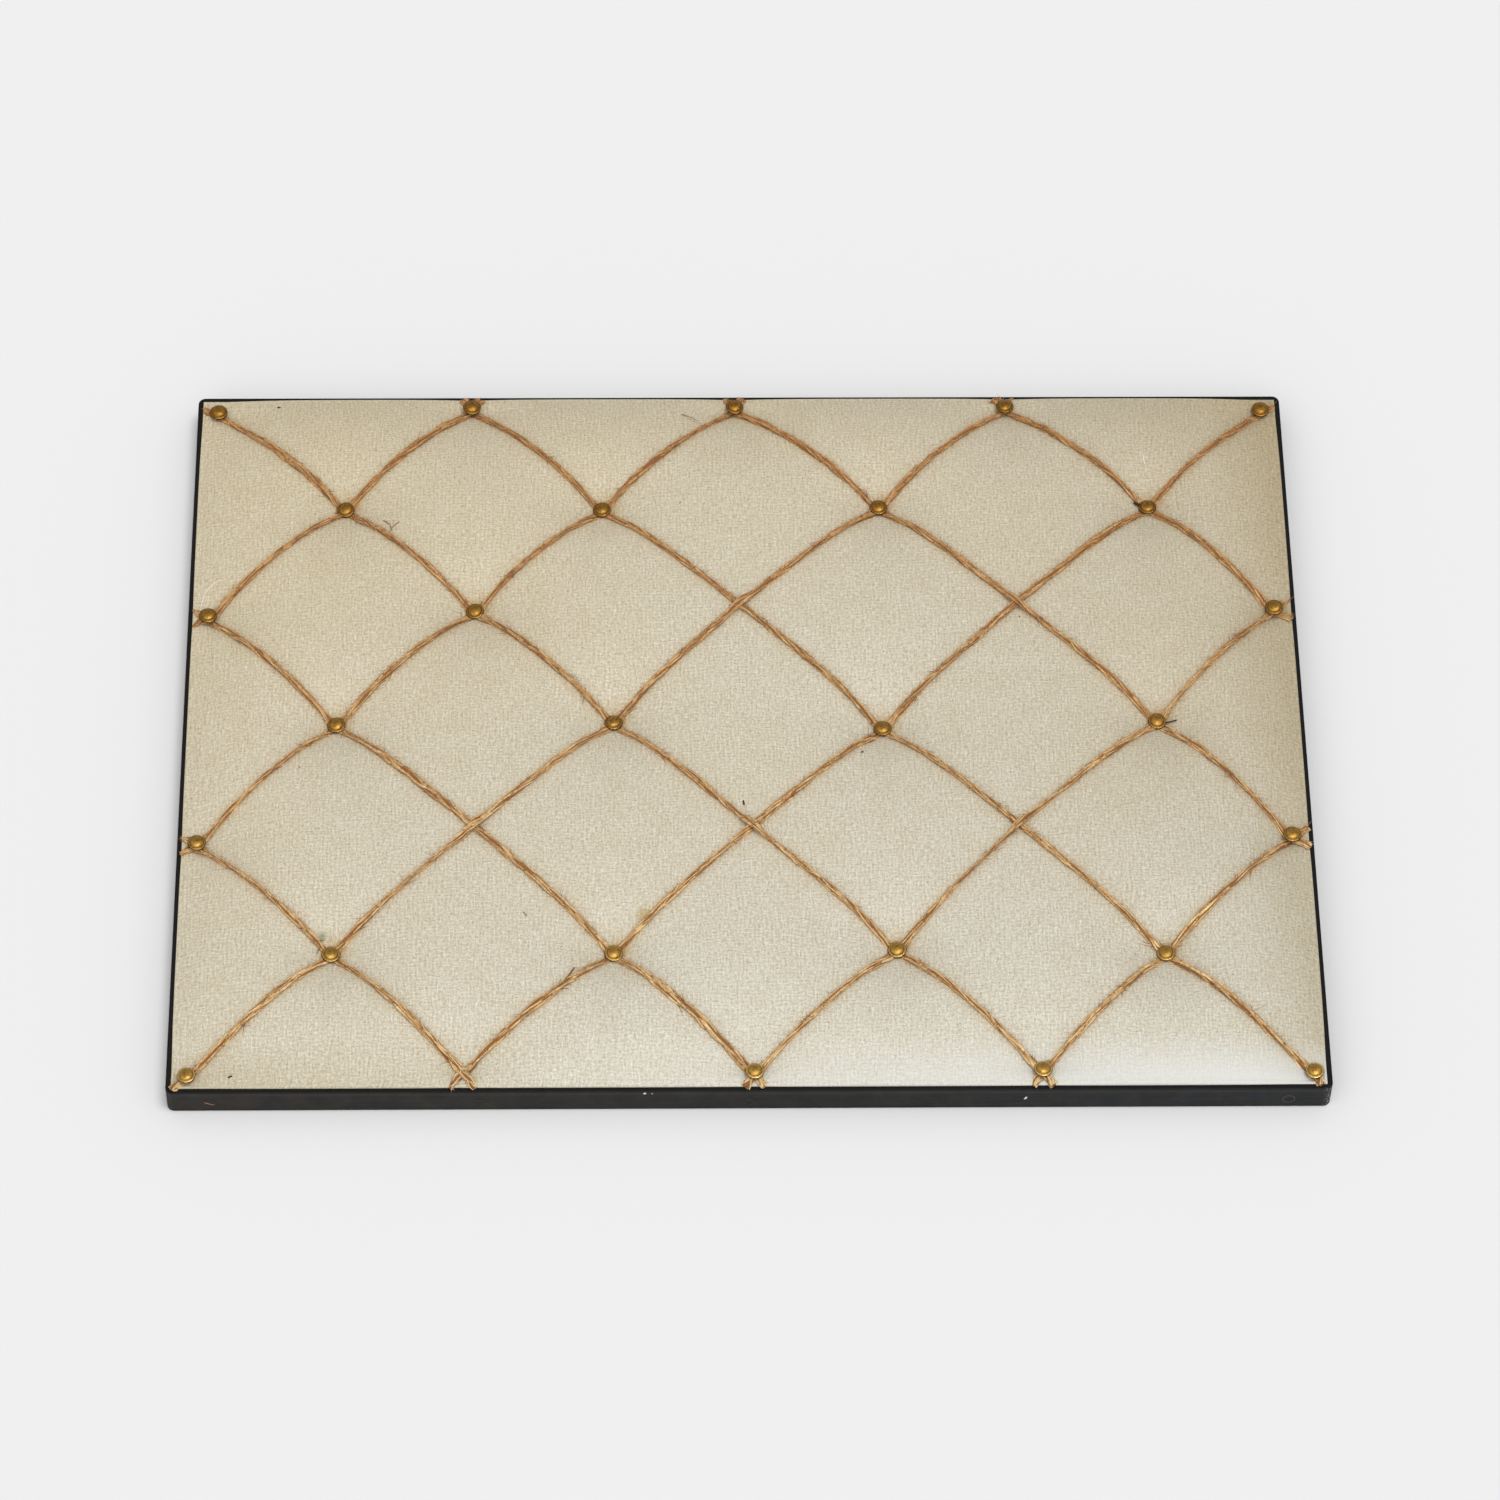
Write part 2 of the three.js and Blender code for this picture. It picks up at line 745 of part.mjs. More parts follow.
// The tucked end past an edge crossing: out along the twine's line, over the shoulder and down at the strip

function tuckedEnd(crossing, direction) {
  const { column, row, place } = crossing;
  const atEnd = row === 0 || row === latticeRows;
  const atSide = column === 0 || column === latticeColumns;
  const roomX = innerWidth / 2 - fitGap - Math.abs(place.x);
  const roomY = innerDepth / 2 - fitGap - Math.abs(place.y);
  const cornerRoom = twinePinchWidth / 2 / Math.SQRT2;
  const across = acrossOf(direction);
  let along = atEnd ? new THREE.Vector2(Math.sign(across.x), 0) : new THREE.Vector2(0, Math.sign(across.y));
  let reach = atEnd ? roomY / Math.abs(direction.y) : roomX / Math.abs(direction.x);
  if (atEnd && atSide) {
    along = across;
    reach = Math.min((roomX - cornerRoom) / Math.abs(direction.x), (roomY - cornerRoom) / Math.abs(direction.y));
  }
  const shoulderReach = reach - shoulderInset * Math.SQRT2;
  const stationAt = (distance, thickness, lift) => {
    const point = place.clone().addScaledVector(direction, distance);
    const height = restingHeight(point, along, twinePinchWidth, thickness) + lift;
    return twineStation(point, height, twinePinchWidth, thickness, along);
  };
  return [stationAt(shoulderReach, twinePinch, tuckLift), stationAt(reach, twineTuck, 0)];
}

// At a crossing the twine is flat for a little more than the nail's head, and lies on or under its neighbour

function crossingStations(crossing, falling, before, after) {
  const [width, thickness] = flatSize(crossing);
  const { lower, upper } = layerHeights(crossing);
  const onTop = twinesAt(crossing).length > 1 && isOnTop(crossing, falling);
  const stack = onTop ? upper : lower;
  const flatAt = (heading, distance) => {
    const point = crossing.place.clone().addScaledVector(heading, distance);
    const across = acrossOf(heading);
    const resting = restingHeight(point, across, width, thickness);
    return twineStation(point, onTop ? Math.max(stack, resting) : resting, width, thickness, across);
  };
  const middle = twineStation(crossing.place, stack, width, thickness, acrossOf(after));
  return [flatAt(before, -flatReach), middle, flatAt(after, flatReach)];
}

const spanShares = [0.14, 0.25, 0.5, 0.75, 0.86];

function twineStations({ falling, run, headings }) {
  const turned = ({ across, ...station }) => ({ ...station, across: across.clone().negate() });
  const stations = tuckedEnd(run[0], headings[0].clone().negate()).reverse().map(turned);
  run.forEach((crossing, i) => {
    const across = acrossOf(headings[i]);
    stations.push(...crossingStations(crossing, falling, headings[Math.max(i - 1, 0)], headings[i]));
    if (i === run.length - 1) return;
    for (const share of spanShares) {
      const point = crossing.place.clone().lerp(run[i + 1].place, share);
      const height = restingHeight(point, across, twineDiameter, twineDiameter);
      stations.push(twineStation(point, height, twineDiameter, twineDiameter, across));
    }
  });
  stations.push(...tuckedEnd(run[run.length - 1], headings[run.length - 1]));
  return stations;
}

function addTwines() {
  const counts = { falling: 0, rising: 0 };
  for (const twine of twines) {
    const kind = twine.falling ? 'falling' : 'rising';
    counts[kind] += 1;
    const holes = nailPunches.filter(({ crossing }) => twine.run.includes(crossing)).map(({ hole }) => hole);
    if (twine.run.includes(stapled)) holes.push(...staplePunches);
    const solid = drilled(solidOf(twineGeometry(twineStations(twine))), holes);
    addPart(`twine_${kind}_${counts[kind]}`, geometryOf(solid), jute);
  }
}

// Nails with stamped domed heads, and the staple

function nailGeometry() {
  const profile = [new THREE.Vector2(0, -nailShankLength)];
  profile.push(new THREE.Vector2(nailShankRadius, -nailShankLength + nailPoint));
  profile.push(new THREE.Vector2(nailShankRadius, nailHollow));
  profile.push(new THREE.Vector2(nailHeadRadius - nailHeadRim, 0));
  for (let i = 0; i < domeSteps; i += 1) {
    const turn = (i / domeSteps) * (Math.PI / 2);
    profile.push(new THREE.Vector2(nailHeadRadius * Math.cos(turn), nailHeadHeight * Math.sin(turn)));
  }
  profile.push(new THREE.Vector2(0, nailHeadHeight));
  return new THREE.LatheGeometry(profile, nailSides).rotateX(Math.PI / 2);
}

function addNails() {
  const letters = 'abcdefg';
  for (const { crossing, seat } of nailPunches) {
    const name = `nail_${letters[crossing.row]}${Math.floor(crossing.column / 2) + 1}`;
    const mesh = addPart(name, geometryOf(solidOf(nailGeometry())), agedBrass);
    mesh.position.set(crossing.place.x, crossing.place.y, seat);
  }
}

function addStaple() {
  const half = stapleCrown / 2;
  const outline = new THREE.Shape();
  outline.moveTo(-half, -stapleLeg);
  outline.lineTo(-half + stapleWire, -stapleLeg);
  outline.lineTo(-half + stapleWire, 0);
  outline.lineTo(half - stapleWire, 0);
  outline.lineTo(half - stapleWire, -stapleLeg);
  outline.lineTo(half, -stapleLeg);
  outline.lineTo(half, stapleWire);
  outline.lineTo(-half, stapleWire);
  const staple = new THREE.ExtrudeGeometry(outline, { depth: stapleWire, bevelEnabled: false });
  staple.translate(0, 0, -stapleWire / 2).rotateX(Math.PI / 2);
  const mesh = addPart('edge_staple', geometryOf(solidOf(staple)), zincSteel);
  mesh.position.set(stapled.place.x, stapled.place.y, stapleTop);
}

// Ring hangers: a strap curled round the ring's straight bar, held by two screws

function strapGeometry() {
  const startTurn = Math.PI / 2;
  const endTurn = startTurn - THREE.MathUtils.degToRad(strapCurl);
  const side = new THREE.Shape();
  side.moveTo(-strapLength, curlInner);
  side.lineTo(-strapLength, curlOuter);
  side.absarc(0, 0, curlOuter, startTurn, endTurn, true);
  side.absarc(0, 0, curlInner, endTurn, startTurn, false);
  const strip = new THREE.ExtrudeGeometry(side, { depth: strapWidth, bevelEnabled: false, curveSegments: 6 });
  strip.translate(0, 0, -strapWidth / 2);
  const sideways = new THREE.Vector3(1, 0, 0);
  const forward = new THREE.Vector3(0, 1, 0);
  const upward = new THREE.Vector3(0, 0, 1);
  strip.applyMatrix4(new THREE.Matrix4().makeBasis(forward, upward, sideways));

  const plan = new THREE.Shape();
  plan.moveTo(strapWidth / 2, 2 * curlOuter);
  plan.lineTo(-strapWidth / 2, 2 * curlOuter);
  plan.absarc(0, -strapLength + strapWidth / 2, strapWidth / 2, Math.PI, 2 * Math.PI);
  const blank = new THREE.ExtrudeGeometry(plan, { depth: 4 * curlOuter, bevelEnabled: false, curveSegments: 6 });
  const cut = solidOf(strip).intersect(solidOf(blank.translate(0, 0, -2 * curlOuter)));
  return geometryOf(drilled(cut, screwPlaces.map((place) => punch(0, -place, screwDiameter / 2, 0, 2 * curlOuter))));
}

function ringGeometry() {
  const half = ringWidth / 2;
  const leg = ringReach - half;
  const arc = (x, y, radius, turns, steps) => {
    const [from, to] = turns.map((turn) => turn * Math.PI);
    return new THREE.EllipseCurve(x, y, radius, radius, from, to).getPoints(steps);
  };
  const loop = [
    ...arc(half - ringCorner, ringCorner, ringCorner, [-0.5, 0], ringCornerSteps),
    ...arc(0, leg, half, [0, 1], ringBowSteps),
    ...arc(-half + ringCorner, ringCorner, ringCorner, [1, 1.5], ringCornerSteps),
  ];
  const mesh = newMesh();
  const rings = loop.map((point, i) => {
    const before = loop[(i + loop.length - 1) % loop.length];
    const after = loop[(i + 1) % loop.length];
    const outward = acrossOf(after.clone().sub(before).normalize());
    const turns = Array.from({ length: ringSides }, (_, k) => ((k + 0.5) / ringSides) * 2 * Math.PI);
    return turns.map((turn) => {
      const place = point.clone().addScaledVector(outward, ringWireRadius * Math.cos(turn));
      return mesh.vertex(place, ringWireRadius * Math.sin(turn));
    });
  });
  rings.forEach((ring, i) => {
    const after = rings[(i + 1) % rings.length];
    for (let k = 0; k < ringSides; k += 1) {
      const next = (k + 1) % ringSides;
      mesh.face(ring[k], after[next], ring[next]);
      mesh.face(ring[k], after[k], after[next]);
    }
  });
  return geometryOf(solidOf(mesh.geometry()));
}

function screwGeometry() {
  const radius = screwDiameter / 2;
  const headRadius = screwHeadDiameter / 2;
  const profile = [
    new THREE.Vector2(0, -screwHeadHeight),
    new THREE.Vector2(screwHeadFlat / 2, -screwHeadHeight),
    new THREE.Vector2(headRadius, -screwHeadEdge),
    new THREE.Vector2(headRadius, 0),
    new THREE.Vector2(radius, 0),
    new THREE.Vector2(radius, screwLength - screwPoint),
    new THREE.Vector2(0, screwLength),
  ];
  return new THREE.LatheGeometry(profile, screwSides).rotateX(Math.PI / 2);
}

function addHangers() {
  const numbers = ['upper', 'lower'];
  for (const [side, x, y] of hangerPlaces()) {
    const hanger = new THREE.Group();
    hanger.position.set(x, y, pinHeight);
    board.add(hanger);
    addPart(`hanger_strap_${side}`, strapGeometry(), zincSteel, hanger);
    const ring = addPart(`hanger_ring_${side}`, ringGeometry(), zincSteel, hanger);
    ring.rotation.x = -THREE.MathUtils.degToRad(ringDroop);
    screwPlaces.forEach((place, i) => {
      const screw = addPart(`hanger_screw_${side}_${numbers[i]}`, geometryOf(solidOf(screwGeometry())), zincSteel, hanger);
      screw.position.set(0, -place, curlInner - fitGap);
    });
  }
}

addFrame();
addPadding();
addTwines();
addNails();
addStaple();
addHangers();

export default board;
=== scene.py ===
"""The looks of the padded memo board: linen, a woven lattice of jute twine, brass nails and black strips.

Sizes are in millimetres, and MM turns them into metres as they reach Blender. X runs along the board, Y
towards its top edge and Z out of its face, as in the frame.
"""

import random
from math import cos, pi, radians, sin

import bpy
import numpy as np
from mathutils import Matrix, Vector


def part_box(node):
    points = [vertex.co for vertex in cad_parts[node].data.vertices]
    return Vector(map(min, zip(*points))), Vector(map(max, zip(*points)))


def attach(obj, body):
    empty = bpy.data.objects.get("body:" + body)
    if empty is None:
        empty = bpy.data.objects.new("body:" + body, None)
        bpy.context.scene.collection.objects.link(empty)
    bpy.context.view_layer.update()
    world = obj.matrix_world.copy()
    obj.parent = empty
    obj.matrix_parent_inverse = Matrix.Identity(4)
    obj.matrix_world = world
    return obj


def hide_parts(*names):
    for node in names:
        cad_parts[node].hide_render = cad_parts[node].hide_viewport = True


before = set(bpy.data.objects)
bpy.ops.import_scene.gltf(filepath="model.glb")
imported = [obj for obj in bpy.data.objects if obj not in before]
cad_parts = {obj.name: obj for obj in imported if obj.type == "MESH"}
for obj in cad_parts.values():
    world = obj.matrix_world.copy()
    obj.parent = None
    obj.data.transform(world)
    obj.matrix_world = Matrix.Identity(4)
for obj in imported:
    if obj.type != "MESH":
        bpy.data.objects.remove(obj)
scene = bpy.context.scene
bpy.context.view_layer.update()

MM = 0.001

# The padded face: fuller than its solids between the nails, and bulging over the strips at the edge
LINEN_FLOOR = 16.6
LOFT = 19.5
EDGE_ROLL = 3.3
EDGE_REACH = 25.0
NAIL_PULL = 0.82
NAIL_REACH = 18.0
NAIL_DIMPLE = 5.0
EDGE_HOLD = 0.45
EDGE_HOLD_REACH = (1.0, 10.0)
TWINE_PULL = 0.02
TWINE_REACH = 12.0
GROOVE_DEPTH = 0.6
GROOVE_REACH = 2.4
GRID_STEP = 1.9
COLLAR_HEIGHT = 2.4
COLLAR_REACH = 9.0
# Jute dust with painted contact shade beside the twines and round the inner nails
DUST_AND_SHADE_REACH = 4.5
DUST_AND_SHADE_SHARE = 0.28
NAIL_DUST_AND_SHADE_REACH = 7.0
NAIL_DUST_AND_SHADE_SHIFT = (2.0, 2.5)
THREAD_PITCH = 2.2

# The edge of the cover: it rolls over the strip's inner arris, goes down the gap and turns under the panel
SHOULDER_INSET = 1.8
SHOULDER_DROP = 1.4
ROLL_TURNS = 6
ROLL_WAY = 0.45
BULGE = 0.6
BULGE_RANGE = (0.2, 2.6)
LIP_HEIGHT = 0.25
LIP_LEAST = 0.3
LIP_SHARE = 0.25
LIP_BULGE = 0.75
LIP_WAY = 3.2
GAP_DROP = 0.6
GAP_WAY = 4.0
WALL_INSET = 0.12
WALL_LENGTH = 14.6
BACK_BEND = 0.4
BACK_BEND_WAY = 0.6
LINEN_THICKNESS = 0.5
LINEN_BACK = 4.5
HEM_INSET = 25.3

# Wadding: its rings are heights over the panel and ways down from its face
WADDING_STEP = 9.0
WADDING_INSET = 3.2
WADDING_WALL = 1.6
WADDING_ROOM = 0.6
WADDING_RINGS = ((0.6, 2.5), (0.0, 3.0))

# Cloth simulation of the cover
SIM_STEP = 4.6
SIM_FRAMES = 20
SIM_PRESSURE = 4.0
SIM_STIFFNESS = 40
SIM_BENDING = 0.4
SIM_TWINE_HOLD = 0.8
SWELL_CAP = 1.2

# The lattice counts half diamonds: twines cross where column and row add up to an even number
COLUMNS = 8
ROWS = 6
ROW_LETTERS = "abcdefg"
STAPLED = (2, 6)
FREE_CROSSINGS = {
    (4, 2): (-2.0, 71.8),
    (6, 2): (149.8, 72.3),
    (2, 4): (-145.8, -73.8),
    (4, 4): (3.0, -74.3),
    (6, 4): (145.8, -73.8),
}

# Twine: two plies of strands; a drift is its size and how many times it is evened out
TWINE_WIDTH = 3.5
TWINE_HEIGHT = 3.5
TWINE_DRIFT = (1.0, 200)
TWINE_STEP = 1.5
TWINE_SEAT = 0.34
PINCH_WIDTH = 4.9
PINCH_HEIGHT = 1.2
PINCH_REACH = 4.5
CROSSING_WIDTH = 4.4
CROSSING_HEIGHT = 3.0
CROSSING_REACH = 2.5
SPREAD_REACH = 11.0
LIFT_REACH = (2.2, 10.0)
LIFT_SHARE = 0.94
TIP_OVERLAP = 0.2
TIP_LEAN = 0.8
TIP_TURN = 0.4
TIP_BAND = 0.6
TIP_ROOM = 0.3
TAPER_REACH = 6.0
TAPER_WIDTH = 0.9
END_SIZES = (0.65, 0.95)
CORNER_TIPS = {(0, 0): (-1.0, 0.3), (8, 0): (1.0, 0.4), (8, 6): (0.4, -1.0)}
PLIES = 2
PLY_OFFSET = 0.5
PLY_RADIUS = 1.08
PLY_SIDES = 6
PLY_WANDER = (1.6, 60)
PLY_DRIFT = (0.3, 12)
LAY_LENGTH = 60.0
STRANDS = 5
STRAND_RADIUS = 0.5
STRAND_SIDES = 5
STRAND_SINK = 0.08
STRAND_LAY = 75.0
STRAND_WANDER = (2.0, 30)
STRAND_LIFT = (0.35, 10)
STRAND_DRIFT = (0.7, 8)

# Fuzz: fibres to a millimetre or to a tuft, least and most length, widest tilt, width and slot
FIBRE_WIDTH = 0.17
FUZZ_KINDS = [(6.0, 0.7, 3.0, 1.0, FIBRE_WIDTH, 1), (1.3, 2.5, 6.5, 0.9, FIBRE_WIDTH, 1),
              (0.5, 1.5, 5.0, 0.9, 1.3 * FIBRE_WIDTH, 2)]
TUFT = (5, 4.0, 9.0, 1.0, 2.0 * FIBRE_WIDTH, 2)
TUFT_SPACING = 45
TUFT_STEPS = 4
TIP_TUFT = (6, 0.6, 1.4, 0.5, FIBRE_WIDTH, 1)
TIP_STEPS = 3
FUZZ_GIRTH = PLY_RADIUS + 0.6 * PLY_OFFSET
FUZZ_DROOP = 0.4
FUZZ_TILT = 0.1
FUZZ_CURL = 0.3
FUZZ_KNEE = 0.55
KNEE_CURL = 0.2
KNEE_WIDTH = 0.8
TIP_CURL = 0.8
FUZZ_BOTTOM = 0.2
FUZZ_TOP = 5.5

# Nails: radius and height of points on the shank, the brim and the dome of the head
NAIL_SHANK = [(0.05, -13.0), (0.75, -10.5), (0.75, 0.3)]
NAIL_BRIM = [(4.5, 0.0), (4.9, 0.06), (4.95, 0.25), (4.86, 0.48), (4.62, 0.66), (4.35, 0.74), (4.05, 0.72),
             (3.8, 0.7)]
NAIL_DOME_TURNS = (8, 20, 34, 48, 62, 75, 85)
NAIL_DOME_HEIGHT = 2.2
NAIL_CROWN = 0.05
NAIL_SEAT = 2.4
NAIL_LEAN = 4
NAIL_SIDES = 40

# Filled heads of the pins that hold the strips, as rings of radius and height, and chips and painted glints
# with their slots
PIN_RINGS = [(3.4, -0.1), (3.4, 0.04), (2.95, 0.06), (2.7, 0.02), (0.1, 0.02)]
PIN_SIDES = 24
PIN_HEIGHT = 7.6
PIN_SPACING = 141.2
PIN_END = 15
CHIP_AND_GLINT_FACES = (0.1, -0.08)
CHIPS_AND_GLINTS = [
    ([(-285.6, 8.7), (-283.6, 8.0), (-281.4, 6.7), (-279.8, 6.2), (-280.6, 5.9), (-282.6, 6.7),
      (-284.9, 8.0)], 2),
    ([(143.2, 8.6), (143.9, 10.2), (144.9, 10.9), (145.2, 9.6), (144.3, 8.3)], 3),
    ([(-55.9, 15.2), (-55.6, 16.3), (-54.6, 16.6), (-54.2, 15.5), (-55.0, 14.8)], 3),
    ([(-51.6, 15.4), (-51.3, 15.9), (-50.8, 15.6), (-51.1, 15.1)], 3),
]

# Staples of the hem: their route is shares of the crown and heights; folds are shares of a flap and heights
STAPLE_ROUTE = [(-0.5, 0.9), (-0.5, 0.3), (-0.46, 0.05), (-0.4, 0), (0.4, 0), (0.46, 0.05), (0.5, 0.3),
                (0.5, 0.9)]
STAPLE_INSET = 15.0
STAPLE_SPACING = 42.0
STAPLE_END = 30
STAPLE_STRAY = (5, 2, 14)
STAPLE_CROWN = 10.0
STAPLE_WIRE = 0.7
STAPLE_SINK = 0.45
FOLD_INSET = 1.0
FOLD_RINGS = ((1.0, -0.02), (1.0, -0.35), (0.97, -0.5), (0.9, -0.55))

# Camera: where it aims, how far off it stands, and its pitch, yaw and roll in degrees
CAMERA_AIM = (3.1, -0.84, 0.0)
CAMERA_DISTANCE = 3285.0
CAMERA_TURNS = (55.56, 1.86, 1.35)
CAMERA_LENS = 144.48
CAMERA_SENSOR = 36.0


# Places that come from the frame

def box_mm(node):
    low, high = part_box(node)
    return np.array(low) / MM, np.array(high) / MM


HALF_X = -box_mm("frame_strip_left")[1][0]
HALF_Y = box_mm("frame_strip_top")[0][1]
HALF = np.array([HALF_X, HALF_Y])
STRIP_TOP = box_mm("frame_strip_bottom")[1][2]


def held_node(column, row):
    """The CAD node of the nail or staple at a crossing."""
    if (column, row) == STAPLED:
        return "edge_staple"
    return f"nail_{ROW_LETTERS[row]}{column // 2 + 1}"


def all_crossings():
    return [(column, row) for row in range(ROWS + 1) for column in range(row % 2, COLUMNS + 1, 2)]


def crossing_places():
    places = {}
    for crossing in all_crossings():
        if crossing in FREE_CROSSINGS:
            places[crossing] = np.array(FREE_CROSSINGS[crossing])
        else:
            low, high = box_mm(held_node(*crossing))
            places[crossing] = (low + high)[:2] / 2
    return places


PLACES = crossing_places()
HELD = [crossing for crossing in PLACES if crossing not in FREE_CROSSINGS]
INNER = [crossing for crossing in HELD if 0 < crossing[0] < COLUMNS and 0 < crossing[1] < ROWS]


def twine_runs():
    """The crossings of each twine by its node's name, in the order in which the nodes are numbered."""
    runs = {}
    for kind, lean, side in (("falling", 1, 0), ("rising", -1, COLUMNS)):
        number = 0
        for column, row in all_crossings():
            if row != 0 and column != side:
                continue
            run = []
            while (column, row) in PLACES:
                run.append((column, row))
                column, row = column + lean, row + 1
            if len(run) > 1:
                number += 1
                runs[f"twine_{kind}_{number}"] = run
    return runs


RUNS = twine_runs()


def on_top(crossing, name):
    """In the plain weave the falling twine is on top at every second crossing."""
    falling_on_top = (sum(crossing) // 2) % 2 == 0
    return falling_on_top == name.startswith("twine_falling")


# The padded surface

def edge_inset(x, y):
    """How far inside the strips points are."""
    return np.minimum(HALF_X - np.abs(x), HALF_Y - np.abs(y))


def smooth_step(low, high, value):
    share = np.clip((value - low) / (high - low), 0, 1)
    return share * share * (3 - 2 * share)


def run_distance(x, y, run):
    """How far points are from a twine's line."""
    least = np.full(np.shape(x), np.inf)
    for first, second in zip(run, run[1:]):
        start, along = PLACES[first], PLACES[second] - PLACES[first]
        share = ((x - start[0]) * along[0] + (y - start[1]) * along[1]) / along.dot(along)
        share = np.clip(share, 0, 1)
        least = np.minimum(least, np.hypot(x - start[0] - share * along[0], y - start[1] - share * along[1]))
    return least


def drawn_height(x, y):
    """Height of the linen as it is drawn: full in the open, lower at the edge, along twines and at nails."""
    share = 1.0
    for inset in (HALF_X - np.abs(x), HALF_Y - np.abs(y)):
        share = share * (1 - np.exp(-(inset + EDGE_ROLL) / EDGE_REACH))
    hold = EDGE_HOLD + (1 - EDGE_HOLD) * smooth_step(*EDGE_HOLD_REACH, edge_inset(x, y))
    for crossing in HELD:
        over, up = x - PLACES[crossing][0], y - PLACES[crossing][1]
        distance = np.sqrt(over ** 2 + up ** 2 + NAIL_DIMPLE ** 2)
        share = share * (1 - NAIL_PULL * hold * np.exp((NAIL_DIMPLE - distance) / NAIL_REACH))
    for run in RUNS.values():
        share = share * (1 - TWINE_PULL * np.exp(-run_distance(x, y, run) / TWINE_REACH))
    collar = np.exp(-(nearest_held(x, y, INNER) / COLLAR_REACH) ** 2)
    return LINEN_FLOOR + LOFT * share + COLLAR_HEIGHT * collar


def nearest_held(x, y, crossings):
    """How far points are from the nearest of the crossings that a nail or the staple holds."""
    return np.min([np.hypot(x - PLACES[held][0], y - PLACES[held][1]) for held in crossings], axis=0)


def nearest_run(x, y):
    """How far points are from the nearest twine."""
    return np.min([run_distance(x, y, run) for run in RUNS.values()], axis=0)


class Swell:
    """How far the cover swells off its drawn shape, on a coarse grid that cloth simulation works out."""

    def __init__(self, across, along, heights):
        self.across, self.along, self.heights = across, along, heights

    def at(self, x, y):
        """The swelling at points between those of the grid."""
        column = np.interp(x, self.across, np.arange(len(self.across)))
        row = np.interp(y, self.along, np.arange(len(self.along)))
        left = np.minimum(column.astype(int), len(self.across) - 2)
        low = np.minimum(row.astype(int), len(self.along) - 2)
        over, up = column - left, row - low
        near = self.heights[low, left] * (1 - over) + self.heights[low, left + 1] * over
        far = self.heights[low + 1, left] * (1 - over) + self.heights[low + 1, left + 1] * over
        return near * (1 - up) + far * up


def linen_height(x, y):
    """Height of the finished linen, with its grooves under the twines and its roll at the edge."""
    inset = edge_inset(x, y)
    most = HALF - SHOULDER_INSET
    inner = np.clip(x, -most[0], most[0]), np.clip(y, -most[1], most[1])
    groove = GROOVE_DEPTH * np.exp(-(nearest_run(x, y) / GROOVE_REACH) ** 2)
    settled = smooth_step(0, 3 * SHOULDER_INSET, inset)
    roll = np.clip((SHOULDER_INSET - inset) / (SHOULDER_INSET + TIP_OVERLAP), 0, 1)
    height = drawn_height(*inner) + swell.at(*inner)
    return height - groove * settled - SHOULDER_DROP * roll ** 2


# Shader helpers

def srgb(red, green, blue):
    """A colour from 0 to 255 as it looks on screen, as the linear colour that a shader takes."""
    def linear(value):
        value /= 255
        return value / 12.92 if value <= 0.04045 else ((value + 0.055) / 1.055) ** 2.4
    return (linear(red), linear(green), linear(blue), 1.0)


class Net:
    """A tree of shader nodes; most methods add a node and give the socket that comes out of it."""

    def __init__(self, tree):
        self.tree = tree

    def connect(self, made, inputs):
        """Sets a node's inputs to values or links them to other nodes' sockets."""
        for key, value in inputs.items():
            if isinstance(value, bpy.types.NodeSocket):
                self.tree.links.new(value, made.inputs[key])
            else:
                made.inputs[key].default_value = value

    def node(self, kind, inputs, **settings):
        """All outputs of a new node."""
        made = self.tree.nodes.new(kind)
        for key, value in settings.items():
            setattr(made, key, value)
        self.connect(made, inputs)
        return made.outputs

    def place(self, output="Object"):
        return self.node("ShaderNodeTexCoord", {})[output]

    def split(self, vector):
        """A vector's parts by X, Y and Z."""
        return self.node("ShaderNodeSeparateXYZ", {0: vector})

    def maths(self, operation, first, second=0.0):
        return self.node("ShaderNodeMath", {0: first, 1: second}, operation=operation)[0]

    def plus(self, first, second):
        return self.maths("ADD", first, second)

    def times(self, first, second):
        return self.maths("MULTIPLY", first, second)

    def noise(self, vector, scale, detail, stretch=(1, 1, 1), roughness=0.5):
        """Noise with features of about 1/scale metres, drawn out by the stretch."""
        spread = self.node("ShaderNodeMapping", {"Vector": vector, "Scale": stretch})[0]
        return self.node("ShaderNodeTexNoise", {
            "Vector": spread, "Scale": scale, "Detail": detail, "Roughness": roughness})["Fac"]

    def span(self, value, low, high, to_low=0.0, to_high=1.0):
        """The value's range from low to high, laid on another range and held there."""
        limits = {"From Min": low, "From Max": high, "To Min": to_low, "To Max": to_high}
        return self.node("ShaderNodeMapRange", {"Value": value, **limits})["Result"]

    def mix(self, share, first, second, blend="MIX"):
        inputs = {0: share, 6: first, 7: second}
        return self.node("ShaderNodeMix", inputs, data_type="RGBA", blend_type=blend)[2]

    def bump(self, height, distance, strength):
        return self.node("ShaderNodeBump", {"Height": height, "Distance": distance, "Strength": strength})[0]


class Look(Net):
    """A material that starts with one colour and is covered or stained with others."""

    def __init__(self, name, colour):
        self.material = bpy.data.materials.new(name)
        self.material.use_nodes = True
        self.colour = srgb(*colour)
        super().__init__(self.material.node_tree)

    def cover(self, share, colour):
        self.colour = self.mix(share, self.colour, srgb(*colour))

    def stain(self, share, colour):
        self.colour = self.mix(share, self.colour, srgb(*colour), "MULTIPLY")

    def done(self, roughness, **others):
        """The finished material; others are more of the shader's inputs, with _ for a space."""
        inputs = {key.replace("_", " "): value for key, value in others.items()}
        shader = self.tree.nodes["Principled BSDF"]
        self.connect(shader, {"Base Color": self.colour, "Roughness": roughness, **inputs})
        return self.material


# Materials

